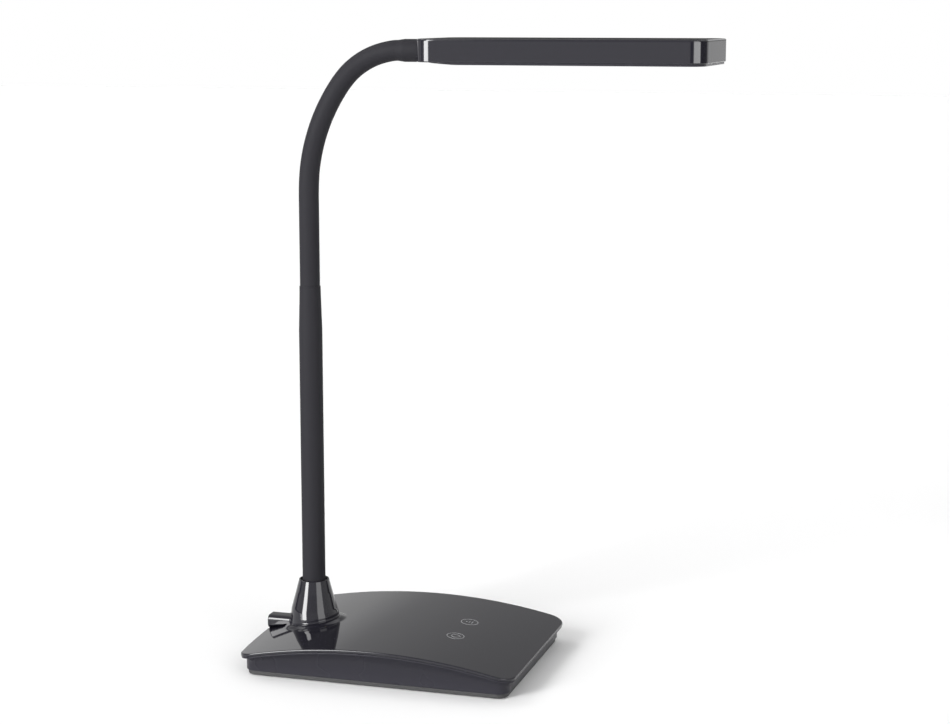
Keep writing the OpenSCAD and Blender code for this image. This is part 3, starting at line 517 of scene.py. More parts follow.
FINISHES = {
    "gloss_black": Finish("gloss_black_plastic", (0.0095, 0.009, 0.0135), 0.035, 0.06, dust=0.10),
    "satin_black": Finish("satin_black_plastic", (0.0230, 0.0222, 0.0285), 0.26, 0.30, 1400, 0.002,
                          specular=0.16, dust=0.03),
    "cover_black": Finish("textured_black_plastic", (0.028, 0.028, 0.029), 0.42, 0.5, 1100, 0.03),
    "neck_rubber": Finish("soft_black_sleeve", (0.0185, 0.018, 0.0215), 0.62, 0.68, 1500, 0.01,
                          specular=0.12, dust=0.05),
    "pad_rubber": Finish("pad_rubber", (0.022, 0.022, 0.022), 0.62, 0.75, 1200, 0.03),
    "core_steel": Finish("drawn_steel", (0.56, 0.57, 0.58), 0.22, 0.34, 700, 0.004, metallic=1.0),
    "ballast_steel": Finish("sheet_steel", (0.36, 0.36, 0.37), 0.35, 0.5, 300, 0.01, metallic=1.0),
    "zinc_steel": Finish("zinc_plated_steel", (0.66, 0.67, 0.70), 0.22, 0.32, 500, 0.003,
                         metallic=1.0),
    "black_screw": Finish("black_oxide_steel", (0.06, 0.06, 0.062), 0.3, 0.4, 500, 0.004,
                          metallic=1.0),
    "key_ink": Finish("key_ink", (0.20, 0.20, 0.21), 0.35, 0.5, 1500, 0.004),
    "board_laminate": Finish("green_board", (0.02, 0.13, 0.06), 0.25, 0.4, 600, 0.004),
    "contact_foam": Finish("contact_foam", (0.10, 0.10, 0.105), 0.7, 0.8, 1500, 0.05),
    "lead_jacket": Finish("lead_jacket", (0.08, 0.08, 0.085), 0.4, 0.5, 1200, 0.005),
    "white_board": Finish("white_board", (0.78, 0.78, 0.76), 0.3, 0.4, 600, 0.003),
    "light_point": Finish("light_point", (0.85, 0.72, 0.30), 0.2, 0.3, 600, 0.003, coat=0.5),
    "heat_aluminium": Finish("rolled_aluminium", (0.72, 0.73, 0.74), 0.3, 0.42, 400, 0.006,
                             metallic=1.0),
    "opal": Finish("opal_diffuser", (0.84, 0.84, 0.82), 0.38, 0.44, 1600, 0.006, subsurface=0.25),
}


class Paint:
    """Builds each finish once and lays it on pieces."""

    def __init__(self) -> None:
        """Builds the shared node groups."""
        self.groups = {"grain": make_grain(), "dust": make_dust()}
        self.made: dict = {}

    def lay(self, piece: bpy.types.Object, slot: str) -> bpy.types.Object:
        """Gives a piece the finish of a record slot.

        Args:
            piece: The piece.
            slot: Name of the slot, which is also the finish's key.

        Returns:
            The piece.
        """
        if slot not in self.made:
            self.made[slot] = FINISHES[slot].build(self.groups)
        piece.data.materials.clear()
        piece.data.materials.append(self.made[slot])
        return piece

    def dress_nodes(self) -> None:
        """Lays its record slot's finish on every carried-over node."""
        for row in frame["record"]["subparts"]:
            self.lay(frame["nodes"][row["node"]], row["material_slot"])


# Sub-assemblies


def size_of(node: str) -> np.ndarray:
    """Lowest and highest corner of a node in millimetres, as two rows."""
    return np.array([list(corner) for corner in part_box(node)]) / MM


@dataclass
class Base:
    """The base: arched plate, housing, bottom cover and what the bell stands on."""

    paint: Paint
    length: float = 188.6
    width: float = 141.0
    corner: float = 8.0
    bow: float = 5.3
    plate_over: float = 4.0
    plate_thick: float = 2.2
    end_height: float = 15.2
    arch_rise: float = 11.5
    seam: float = 0.3
    flange: float = 1.2
    flange_back: float = 0.5
    wall: float = 2.4
    cover_rise: float = 2.8
    cover_inset: float = 1.2
    foot_gap: float = 0.8
    arm_x: float = -69.5
    mound_high: float = 1.6
    mound_foot: float = 23.0
    mound_head: float = 18.6
    # Points on each corner, the rear end, a long side and the front end of the outline
    corner_points: int = 15
    rear_points: int = 72
    side_points: int = 90
    end_points: int = 64
    # Width of the flat next to a rounded edge, the edges' radii, and rings in to the middle
    plate_band: float = 8.0
    plate_edges: tuple = (0.75, 0.5)
    plate_rings: int = 92
    top_skin: float = 0.05
    ledge: float = 3.0
    housing_edges: tuple = (0.5, 0.4, 0.35)
    cover_band: float = 9.0
    cover_thick: float = 1.6
    cover_edges: tuple = (0.6, 0.25, 0.2)
    cover_rings: int = 8

    def arch(self, x: np.ndarray) -> np.ndarray:
        """Height of the plate's top: an arc about Y whose ends lie arch_rise below its crown."""
        half = self.length / 2 + self.plate_over
        radius = (half * half + self.arch_rise**2) / (2 * self.arch_rise)
        return self.end_height + self.arch_rise - radius + np.sqrt(radius * radius - x * x)

    def mound(self, x: np.ndarray, y: np.ndarray) -> np.ndarray:
        """Height of the mound round the arm: a smooth step of the distance from the arm's axis."""
        away = np.hypot(x - self.arm_x, y)
        slope = self.mound_foot - self.mound_head
        return self.mound_high * smoothstep((self.mound_foot - away) / slope)

    def ground(self, x: np.ndarray, y: np.ndarray) -> np.ndarray:
        """Height of the surface that the bell stands on."""
        return self.arch(x) + self.mound(x, y)

    def outline(self, grow: float) -> np.ndarray:
        """Outline of the base grown by a distance, as rows of x and y.

        The front end is straight, the rear end is an arc bowed out in its middle, and quarter circles
        touch both at the corners. Straight sides have points every few millimetres for the arch.

        Args:
            grow: Distance by which the outline stands out past the body.

        Returns:
            The outline's points, counter-clockwise from the front end's right corner.
        """
        half = self.width / 2
        bow_radius = (half * half + self.bow**2) / (2 * self.bow)
        bow_x = -self.length / 2 - self.bow + bow_radius
        side = half - self.corner
        rear_x = bow_x - math.sqrt((bow_radius - self.corner) ** 2 - side * side)
        front_x = self.length / 2 - self.corner
        turn = math.asin(side / (bow_radius - self.corner))
        radius = self.corner + grow

        def corner(x: float, y: float, start: float, end: float) -> np.ndarray:
            """Points of one round corner, from one direction to another in radians."""
            angle = np.linspace(start, end, self.corner_points)
            return np.stack([x + radius * np.cos(angle), y + radius * np.sin(angle)], axis=-1)

        quarter = math.pi / 2
        first = corner(front_x, -side, -quarter, 0)
        second = corner(front_x, side, 0, quarter)
        third = corner(rear_x, side, quarter, math.pi - turn)
        fourth = corner(rear_x, -side, math.pi + turn, 3 * quarter)
        angle = np.linspace(math.pi - turn, math.pi + turn, self.rear_points)[1:-1]
        reach = bow_radius + grow
        rear = np.stack([bow_x + reach * np.cos(angle), reach * np.sin(angle)], axis=-1)
        t_side = np.linspace(0, 1, self.side_points)[1:-1, None]
        t_end = np.linspace(0, 1, self.end_points)[1:-1, None]
        return np.concatenate([
            first,
            first[-1] + (second[0] - first[-1]) * t_end,
            second,
            second[-1] + (third[0] - second[-1]) * t_side,
            third,
            rear,
            fourth,
            fourth[-1] + (first[0] - fourth[-1]) * t_side,
        ])

    def rings(self, profile: np.ndarray, inwards: int = 0) -> np.ndarray:
        """Rings that follow the outline.

        Each profile row holds how far the outline is grown, a height, and the share of the arch that
        is added to the height. With inwards, rings shrink evenly from both ends to the middle.

        Args:
            profile: Rows of growth, height and arch share.
            inwards: Number of rings between each end and the middle.

        Returns:
            Rings of points.
        """
        made = [self.ring(self.outline(grow), height, share) for grow, height, share in profile]
        if inwards:
            shares = np.linspace(0, 1, inwards + 1)[1:]
            first = [self.ring(self.outline(profile[0, 0]) * s, *profile[0, 1:]) for s in shares]
            last = [self.ring(self.outline(profile[-1, 0]) * s, *profile[-1, 1:]) for s in shares]
            made = first[:-1] + made + last[:-1][::-1]
        return np.stack(made)

    def ring(self, outline: np.ndarray, height: float, share: float) -> np.ndarray:
        """One ring at a height plus a share of the arch."""
        z = height + share * self.arch(outline[:, 0])
        return np.concatenate([outline, z[:, None]], axis=-1)

    def build_plate(self) -> None:
        """Arched glossy plate: rounded edge, mound under the bell."""
        edge, low = self.plate_over, -self.plate_thick
        back = edge - self.plate_band
        corners = [(back, 0, 1), (edge, 0, 1), (edge, low, 1), (back, low, 1)]
        profile = rounded(corners, [0, *self.plate_edges, 0], steps=6)
        rings = self.rings(profile, inwards=self.plate_rings)
        top = rings[:, :, 2] > self.arch(rings[:, :, 0]) - self.top_skin
        rings[..., 2] += np.where(top, self.mound(rings[..., 0], rings[..., 1]), 0.0)
        plate = ring_mesh("glossy_plate", rings, Loop.CAPPED)
        self.paint.lay(plate, "gloss_black")
        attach(plate, "root")
        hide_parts("top_plate")

    def build_housing(self) -> None:
        """Side walls that flare out into the flange under the plate."""
        foot = self.foot_gap + self.cover_rise + self.seam
        top = -self.plate_thick - self.seam
        out = self.plate_over - self.flange_back
        foot_edge, under_edge, top_edge = self.housing_edges
        under, inner = top - self.flange, -self.wall - self.ledge
        profile = self.soft_profile([
            (-self.wall, foot, 0, 0),
            (0, foot, 0, foot_edge),
            (0, under, 1, 0),
            (out, under, 1, under_edge),
            (out, top, 1, top_edge),
            (inner, top, 1, 0),
            (inner, under, 1, 0),
            (-self.wall, under, 1, 0),
        ])
        housing = ring_mesh("housing_shell", self.rings(profile), Loop.RING)
        self.paint.lay(housing, "satin_black")
        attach(housing, "root")
        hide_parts("base_housing")

    def soft_profile(self, corners: list) -> np.ndarray:
        """Rounds a closed profile whose corners mix plain and arch-bound heights.

        The arch at the wall's middle stands in for the arch while the corners are rounded, and its
        share of each point is taken off again after.

        Args:
            corners: Rows of growth, height, arch share and corner radius.

        Returns:
            Rows of growth, height and arch share.
        """
        level = self.end_height + self.arch_rise / 2
        flat = [(grow, height + share * level, share) for grow, height, share, _ in corners]
        profile = rounded(flat, [row[3] for row in corners], steps=5, closed=True)
        profile[:, 1] -= profile[:, 2] * level
        return profile

    def build_cover(self) -> None:
        """Bottom cover: a shallow tray with a softened lower edge."""
        low, high = self.foot_gap, self.foot_gap + self.cover_rise
        out = -self.cover_inset
        back, inner, floor = out - self.cover_band, out - self.cover_thick, low + self.cover_thick
        corners = [(back, low, 0), (out, low, 0), (out, high, 0), (inner, high, 0), (inner, floor, 0),
                   (back, floor, 0)]
        profile = rounded(corners, [0, *self.cover_edges, 0, 0], steps=5)
        cover = ring_mesh("bottom_tray", self.rings(profile, inwards=self.cover_rings), Loop.CAPPED)
        self.paint.lay(cover, "cover_black")
        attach(cover, "root")
        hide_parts("bottom_cover")


@dataclass
class Foot:
    """The arm's foot: bell with its ring, inlet block and grommet."""

    paint: Paint
    base: Base
    rim_z: float = 52.5
    rim_radius: float = 10.7
    rim_wall: float = 1.0
    rim_depth: float = 2.5
    sleeve_radius: float = 8.35
    sleeve_seat: float = 44.5
    foot_radius: float = 17.6
    # Radius and height of the bell's two bends, and their rounding
    bends: tuple = ((13.0, 43.4), (16.4, 31.2))
    bend_round: float = 30.0
    # Down the bell's foot: change of radius, height over the ground, and rounding
    foot_rows: tuple = ((-0.1, 3.2, 12.0), (0.05, 1.2, 1.6))
    ring_out: float = 0.6
    ring_high: float = 0.5
    ground_gap: float = 0.05
    rim_rounds: tuple = (0.2, 0.3, 0.35, 0.45)
    ring_rounds: tuple = (0.5, 0.1)
    columns: int = 160
    ring_step: float = 1.2
    inlet_width: float = 12.8
    inlet_top: float = 23.8
    inlet_edge: float = 3.3
    hole_z: float = 19.307
    hole_radius: float = 2.2
    flange_radius: float = 4.0
    flange_thick: float = 1.0
    # The inlet's overlap with the bell, rounding of its rear edges, and points on a side and a corner
    inlet_overlap: float = 3.0
    inlet_round: float = 0.9
    inlet_counts: tuple = (8, 8)
    # Rings round the rear edges and along the flat sides, and where the flat sides begin
    round_rings: int = 7
    flat_rings: int = 8
    flat_start: float = 0.4
    near_round: float = 0.999
    # Depth and radius of the bore for the grommet, and radius of the lead's hole behind it
    bore_depth: float = 8.0
    bore_radius: float = 3.2
    lead_radius: float = 2.6
    play: float = 0.05
    grommet_rounds: tuple = (0.35, 0.35, 0.1, 0, 0.1, 0.1)
    grommet_columns: int = 64

    def build_bell(self) -> None:
        """Bell: a closed profile turned about the arm; its foot follows the ground below it."""
        base = self.base
        seat = float(base.ground(np.array(base.arm_x), np.array(0.0)))
        out = self.foot_radius + self.ring_out
        bore = self.sleeve_radius
        rim_floor, rim_inner = self.rim_z - self.rim_depth, self.rim_radius - self.rim_wall
        low = seat + self.ground_gap
        rim = [(bore, rim_floor), (rim_inner, rim_floor), (rim_inner, self.rim_z),
               (self.rim_radius, self.rim_z)]
        ring = [seat + self.ring_high, low]
        corners = [
            (bore, self.sleeve_seat, 0, 0),
            *((radius, height, 0, soft) for (radius, height), soft in zip(rim, self.rim_rounds)),
            *((radius, height, 0, self.bend_round) for radius, height in self.bends),
            *((self.foot_radius + more, seat + rise, 1, soft) for more, rise, soft in self.foot_rows),
            *((out, height, 1, soft) for height, soft in zip(ring, self.ring_rounds)),
            (bore, low, 1, 0),
        ]
        flat = [(radius, height, share) for radius, height, share, _ in corners]
        profile = rounded(flat, [row[3] for row in corners], steps=8, closed=True)
        profile = refine(profile, self.ring_step)
        rings = revolve(profile[:, :2], self.columns)
        rings[..., 0] += base.arm_x
        lift = base.ground(rings[..., 0], rings[..., 1]) - seat
        rings[..., 2] += profile[:, 2:3] * lift
        bell = ring_mesh("bell", rings, Loop.RING)
        self.paint.lay(bell, "gloss_black")
        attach(bell, "root")
        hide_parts("arm_bell")

    def build_inlet(self) -> None:
        """Inlet block behind the bell, with a rounded rear face and a recess for the grommet."""
        rear = size_of("arm_bell")[0, 0]
        front = self.base.arm_x - self.foot_radius + self.inlet_overlap
        bottom = float(self.base.arch(np.array(rear)))
        middle = (bottom + self.inlet_top) / 2
        tall = self.inlet_top - bottom
        sunk = self.flange_radius + self.play

        def block(shrink: float, x: float) -> np.ndarray:
            """Ring of the block's section, shrunk by a distance, at a place along it."""
            wide, high = self.inlet_width - 2 * shrink, tall - 2 * shrink
            flat = round_rectangle(wide, high, self.inlet_edge, *self.inlet_counts)
            y, z = flat[:, 0], middle + flat[:, 1]
            rise = self.base.ground(np.full_like(y, x), y) - bottom
            share = np.clip((middle - z) / (tall / 2), 0, 1)
            return np.stack([np.full_like(y, x), y, z + rise * share], axis=-1)

        # A square that is almost a circle gives the directions of the block's own points
        template = round_rectangle(2.0, 2.0, self.near_round, *self.inlet_counts)
        angle = np.arctan2(template[:, 1], template[:, 0])

        def circle(radius: float, x: float) -> np.ndarray:
            """Ring round the hole's axis at a place along it."""
            y, z = radius * np.cos(angle), self.hole_z + radius * np.sin(angle)
            return np.stack([np.full_like(angle, x), y, z], axis=-1)

        deep, ledge, soft = rear + self.bore_depth, rear + self.flange_thick, self.inlet_round
        rings = [circle(self.lead_radius, deep), circle(self.bore_radius, deep),
                 circle(self.bore_radius, ledge), circle(sunk, ledge), circle(sunk, rear)]
        rings.append(block(soft, rear))
        for step in np.linspace(0, math.pi / 2, self.round_rings):
            rings.append(block(soft * (1 - math.sin(step)), rear + soft * (1 - math.cos(step))))
        flats = np.linspace(rear + soft + self.flat_start, front, self.flat_rings)
        rings += [block(0, x) for x in flats]
        inlet = ring_mesh("inlet_block", np.stack(rings), Loop.CAPPED)
        self.paint.lay(inlet, "gloss_black")
        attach(inlet, "root")
        LOG.info("inlet block %.1f wide, %.1f high", self.inlet_width, tall)

    def build_grommet(self) -> None:
        """Rubber grommet: a closed profile turned about the hole's axis."""
        low, high = size_of("inlet_grommet")
        long = high[0] - low[0]
        body, thick = self.bore_radius - self.play, self.flange_thick
        corners = [(self.hole_radius, 0), (self.flange_radius, 0), (self.flange_radius, thick),
                   (body, thick), (body, long), (self.hole_radius, long)]
        profile = rounded(corners, list(self.grommet_rounds), steps=5, closed=True)
        rings = along_x(revolve(profile, self.grommet_columns), (low[0], 0, self.hole_z))
        grommet = ring_mesh("grommet", rings, Loop.RING)
        self.paint.lay(grommet, "pad_rubber")
        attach(grommet, "root")
        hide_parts("inlet_grommet")


@dataclass
class Neck:
    """Sleeve on the rigid tube, and the flexible neck's skin, cut at the middle of each link."""

    paint: Paint
    arm_x: float = -69.5
    sleeve_radius: float = 8.2
    sleeve_foot: float = 44.5
    sleeve_top: float = 264.0
    radius: float = 7.0
    wall: float = 1.4
    columns: int = 72
    ring_step: float = 0.9
    curve_steps: int = 48
    # Sleeves whose pair of bodies lists the upper one first
    upper_first: tuple = (6, 7, 10)
    # Distance in from each end of a sleeve to the places listed with its two bodies, and fewest steps along a
    # sleeve
    blend_hold: float = 1.0
    fewest_steps: int = 4
    # The lower sleeve: wall at its foot, length of the taper and the tip, and what the tip adds
    sleeve_wall: float = 1.9
    taper: float = 31.0
    tip: float = 6.0
    tip_foot: float = 0.5
    tip_edge: float = 0.42
    play: float = 0.05
    mouth: float = 15.0
    mouth_slope: float = 1.0
    sleeve_step: float = 4.0
    turned_columns: int = 96
    # How far the skin reaches into the lower sleeve and into the cuff
    skin_in_sleeve: float = 14.0
    skin_in_cuff: float = 3.0
    # The cuff: its cone, bore, depth of the bore and of the neck's seat, and the seat's overlap
    cuff_cone: float = 5.0
    cuff_bore: float = 4.6
    cuff_bore_depth: float = 12.0
    cuff_seat: float = 8.0
    cuff_overlap: float = 0.6
    cuff_step: float = 1.5

    def build_sleeve(self) -> None:
        """Soft sleeve: straight, then a slow taper, then a short round-over at its top."""
        top, inner = self.sleeve_top, self.sleeve_radius - self.sleeve_wall
        corners = [
            (inner, self.sleeve_foot),
            (self.sleeve_radius, self.sleeve_foot),
            (self.sleeve_radius, top - self.taper),
            (self.radius + self.tip_foot, top - self.tip),
            (self.radius + self.tip_edge, top),
            (self.radius + self.play, top),
            (self.radius + self.play, top - self.mouth),
            (inner, top - self.mouth - self.mouth_slope),
        ]
        profile = rounded(corners, [0, 0.4, 60, 12, 0.2, 0, 0, 0], steps=8, closed=True)
        profile = refine(profile, self.sleeve_step)
        rings = revolve(profile, self.turned_columns)
        rings[..., 0] += self.arm_x
        sleeve = ring_mesh("soft_sleeve", rings, Loop.RING)
        self.paint.lay(sleeve, "neck_rubber")
        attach(sleeve, "root")
        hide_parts("tube_sleeve")

    def pivots(self) -> np.ndarray:
        """Places of the neck's joints in millimetres, from the lowest up, as rows of x and z."""
        rows = [joint["pos_m"] for joint in frame["joints"] if joint["name"].startswith("neck_")]
        return np.array(rows)[:, [0, 2]] / MM

    def centreline(self) -> np.ndarray:
        """Centreline of the neck from inside the sleeve to inside the cuff, as rows of x and z.

        Between the middles a and b of two neighbouring links, with their joint p between them, the
        curve is a (1 - t)^2 + 2 p t (1 - t) + b t^2, so it passes each middle along the link.
        """
        joints = self.pivots()
        start = np.array([self.arm_x, self.sleeve_top - self.skin_in_sleeve])
        end = np.array([size_of("head_cuff")[0, 0] + self.skin_in_cuff, joints[-1, 1]])
        knots = np.concatenate([[start], joints, [end]])
        middles = (knots[1:] + knots[:-1]) / 2
        t = np.linspace(0, 1, self.curve_steps, endpoint=False)[None, :, None]
        before, joint, after = (rows[:, None, :] for rows in (middles[:-1], joints, middles[1:]))
        curve = before * (1 - t) ** 2 + 2 * joint * t * (1 - t) + after * t**2
        return np.concatenate([[start], curve.reshape(-1, 2), middles[-1:], [end]])

    def tube(self, path: np.ndarray) -> np.ndarray:
        """Rings of a hollow tube along a path in the plane of the arm.

        The outer rings run up the path and the inner ones run back down. Each ring is square to the
        path: centre plus cosine times the in-plane normal plus sine times Y.

        Args:
            path: Rows of x, z and the tangent's x and z.

        Returns:
            Rings of points, the last of which joins the first.
        """
        angle = np.linspace(0, TAU, self.columns, endpoint=False)
        x, z, tx, tz = (path[:, i : i + 1] for i in range(4))

        def skin(radius: float) -> np.ndarray:
            """Rings of one radius along the path."""
            out = radius * np.cos(angle)
            return np.stack([x + out * tz, radius * np.sin(angle) + 0 * x, z - out * tx], axis=-1)

        return np.concatenate([skin(self.radius), skin(self.radius - self.wall)[::-1]])

    def build_skin(self) -> None:
        """Cuts the neck's skin at each link's middle, one length across each joint."""
        path = self.centreline()
        along = np.concatenate([[0], np.cumsum(np.hypot(*np.diff(path, axis=0).T))])
        tangent = np.gradient(path, along, axis=0)
        tangent /= np.hypot(tangent[:, 0], tangent[:, 1])[:, None]
        count = len(self.pivots())
        cuts = [0.0, *along[1 : 1 + count * self.curve_steps : self.curve_steps], along[-1]]
        names = ["neck_root_skin"] + [f"neck_skin_{i}" for i in range(1, count + 1)]
        for i, node in enumerate(names):
            low, high = cuts[i], cuts[i + 1]
            steps = max(self.fewest_steps, math.ceil((high - low) / self.ring_step))
            at = np.linspace(low, high, steps + 1)
            columns = [np.interp(at, along, column) for column in (*path.T, *tangent.T)]
            rows = np.stack(columns, axis=-1)
            skin = ring_mesh(node.replace("skin", "sleeve"), self.tube(rows), Loop.RING)
            sharpen(skin)
            self.paint.lay(skin, "neck_rubber")
            if i == 0:
                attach(skin, "root")
            else:
                before = "root" if i == 1 else f"neck_link_{i - 1}"
                hold = self.blend_hold
                ends = []
                for body, place in ((before, low + hold), (f"neck_link_{i}", high - hold)):
                    x, z = (np.interp(place, along, column) * MM for column in path.T)
                    ends.append((body, (x, 0.0, z)))
                if i in self.upper_first:
                    ends.reverse()
                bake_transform(skin)
            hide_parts(node)

    def build_cuff(self) -> None:
        """Cuff between neck and head: a chamfered step, a straight barrel and a softened end."""
        low, high = size_of("head_cuff")
        radius = (high[1] - low[1]) / 2
        long = high[0] - low[0]
        axis_z = (low[2] + high[2]) / 2
        inner, bore = self.radius - self.cuff_overlap, self.cuff_bore
        corners = [(inner, 0), (self.radius, 0), (radius, self.cuff_cone), (radius, long), (bore, long),
                   (bore, long - self.cuff_bore_depth), (inner, self.cuff_seat)]
        profile = rounded(corners, [0, 0.3, 4, 0.6, 0.3, 0, 0], steps=8, closed=True)
        rings = revolve(refine(profile, self.cuff_step), self.turned_columns)
        cuff = ring_mesh("cuff", along_x(rings, (low[0], 0, axis_z)), Loop.RING)
        self.paint.lay(cuff, "neck_rubber")
        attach(cuff, "neck_link_10")
        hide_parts("head_cuff")


@dataclass
class Head:
    """The slim head: glossy shell, light frame and diffuser."""

    paint: Paint
    corner: float = 12.0
    top_edge: float = 1.0
    low_edge: float = 0.5
    wall: float = 2.0
    gap: float = 0.15
    lip: float = 1.6
    lip_start: float = 0.2
    lip_inset: float = 1.0
    lip_rear: float = 8.0
    lip_ramp: float = 20.0
    frame_rise: float = 2.0
    border: float = 7.0
    frame_rear: float = 24.0
    rebate: float = 2.0
    window_corner: float = 7.0
    # Points on a side and on a corner of each outline
    counts: tuple = (40, 14)
    # Width of the flat next to a rounded edge, radius of the inner edges, and rings to the middle
    band: float = 9.0
    inner_edge: float = 0.3
    middle_rings: int = 7
    lip_soft: float = 0.4
    front_border: float = 8.0
    # The diffuser: how far it lies in, its play over the frame, and height of its rim
    glass_sunk: float = 0.3
    glass_play: float = 0.05
    glass_rim: float = 1.75

    def __post_init__(self) -> None:
        """Reads the shell's size from its node."""
        low, high = size_of("head_shell")
        self.rear, self.front = low[0], high[0]
        self.length, self.width = high[0] - low[0], high[1] - low[1]
        self.floor, self.top = low[2], high[2]
        self.middle = (self.rear + self.front) / 2

    def outline(self, inset: float) -> np.ndarray:
        """Outline of the shell shrunk by a distance, as rows of x and y."""
        length, width = self.length - 2 * inset, self.width - 2 * inset
        return round_rectangle(length, width, self.corner - inset, *self.counts) + [self.middle, 0]

    def box_outline(self, x0: float, x1: float, width: float, corner: float) -> np.ndarray:
        """Outline of a round rectangle between two places along X."""
        return round_rectangle(x1 - x0, width, corner, *self.counts) + [(x0 + x1) / 2, 0]

    def window_outline(self, x0: float, x1: float, width: float, grow: float) -> np.ndarray:
        """Outline of the light window grown by a distance."""
        return self.box_outline(x0 - grow, x1 + grow, width + 2 * grow, self.window_corner + grow)

    def ring(self, outline: np.ndarray, z: float | np.ndarray) -> np.ndarray:
        """One ring of an outline at a height."""
        return np.concatenate([outline, np.broadcast_to(z, len(outline))[:, None]], axis=-1)

    def build_shell(self) -> None:
        """Shell: a thin tray, open below, with bevelled edges all round."""
        under, soft = self.top - self.wall, self.inner_edge
        corners = [(self.band, self.top), (0, self.top), (0, self.floor), (self.wall, self.floor),
                   (self.wall, under), (self.band, under)]
        profile = rounded(corners, [0, self.top_edge, self.low_edge, soft, soft, 0], steps=7)
        made = [self.ring(self.outline(inset), z) for inset, z in profile]
        shares = np.linspace(0, 1, self.middle_rings + 2)[1:-1]
        centre = np.array([self.middle, 0])

        def towards_middle(inset: float, z: float) -> list:
            """Rings that shrink from an inset outline to the shell's middle."""
            edge = self.outline(inset)
            return [self.ring(centre + (edge - centre) * s, z) for s in shares]

        first = towards_middle(self.band, self.top)
        last = towards_middle(self.band, under)
        shell = ring_mesh("head_housing", np.stack(first + made + last[::-1]), Loop.CAPPED)
        self.paint.lay(shell, "gloss_black")
        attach(shell, "head")
        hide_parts("head_shell")

    def lip_drop(self, x: np.ndarray) -> np.ndarray:
        """Depth of the lip below the shell: it grows along the rear ramp and then stays."""
        start = self.rear + self.lip_rear
        share = np.clip((x - start) / self.lip_ramp, 0, 1)
        return self.lip_start + (self.lip - self.lip_start) * share

    def build_frame(self) -> None:
        """Light frame: a closed ring from inside the shell, round the lip and up the window."""
        inner = self.outline(self.wall + self.gap)
        x0, x1 = self.window_ends()
        width = self.width - 2 * (self.lip_inset + self.border)

        def lip_outline(inset: float) -> np.ndarray:
            """Outline of the lip shrunk by a distance."""
            side = self.lip_inset + inset
            return self.box_outline(self.rear + self.lip_rear + inset, self.front - side,
                                    self.width - 2 * side, self.corner - side)

        lip_outer, soft = lip_outline(0.0), lip_outline(self.lip_soft)
        window = self.window_outline(x0, x1, width, 0.0)
        rebate = self.window_outline(x0, x1, width, self.rebate)
        floor = self.floor
        low_outer = floor - self.lip_drop(lip_outer[:, 0])
        low_window = floor - self.lip_drop(window[:, 0])
        # Shares of the way: up the lip's walls, round its soft edge, up beside it, and across its floor
        wall_share, turn_share, rise_share, hold_share = 0.2, 0.3, 0.07, 0.1
        rings = [
            self.ring(inner, floor + self.frame_rise),
            self.ring(inner, floor),
            self.ring(lip_outer, floor),
            self.ring(lip_outer, between(low_outer, floor, wall_share)),
            self.ring(between(lip_outer, soft, turn_share), between(low_outer, floor, rise_share)),
            self.ring(soft, low_outer),
            self.ring(between(soft, window, hold_share), between(low_outer, low_window, hold_share)),
            self.ring(between(window, soft, hold_share), between(low_window, low_outer, hold_share)),
            self.ring(window, low_window),
            self.ring(window, between(low_window, floor, wall_share)),
            self.ring(window, floor),
            self.ring(rebate, floor),
            self.ring(rebate, floor + self.frame_rise),
        ]
        light_frame = ring_mesh("light_frame_shell", np.stack(rings), Loop.RING)
        sharpen(light_frame)
        self.paint.lay(light_frame, "satin_black")
        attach(light_frame, "head")
        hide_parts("light_frame")

    def window_ends(self) -> tuple:
        """Both ends of the light window along X."""
        return self.rear + self.frame_rear, self.front - self.lip_inset - self.front_border

    def build_diffuser(self) -> None:
        """Diffuser: a slab with a softened lower edge and a rim that lies in the frame's rebate."""
        x0, x1 = self.window_ends()
        width = self.width - 2 * (self.lip_inset + self.border)
        low = self.floor - self.lip + self.glass_sunk
        rim_low, rim_top = self.floor + self.glass_play, self.floor + self.glass_rim
        side, rim = -self.gap, self.rebate - self.gap
        corners = [(-self.band, low), (side, low), (side, rim_low), (rim, rim_low), (rim, rim_top),
                   (-self.band, rim_top)]
        profile = rounded(corners, [0, 0.4, 0, 0.1, 0.1, 0], steps=5)
        # The window is longer than wide, so rings stop at a narrow slot and a pole closes it
        least = 1 - self.window_corner
        rings = []
        for grow, z in profile:
            rings.append(self.ring(self.window_outline(x0, x1, width, max(grow, least)), z))
        diffuser = ring_mesh("diffuser_plate", np.stack(rings), Loop.CAPPED)
        sharpen(diffuser)
        self.paint.lay(diffuser, "opal")
        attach(diffuser, "head")
        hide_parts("diffuser")


# Studio


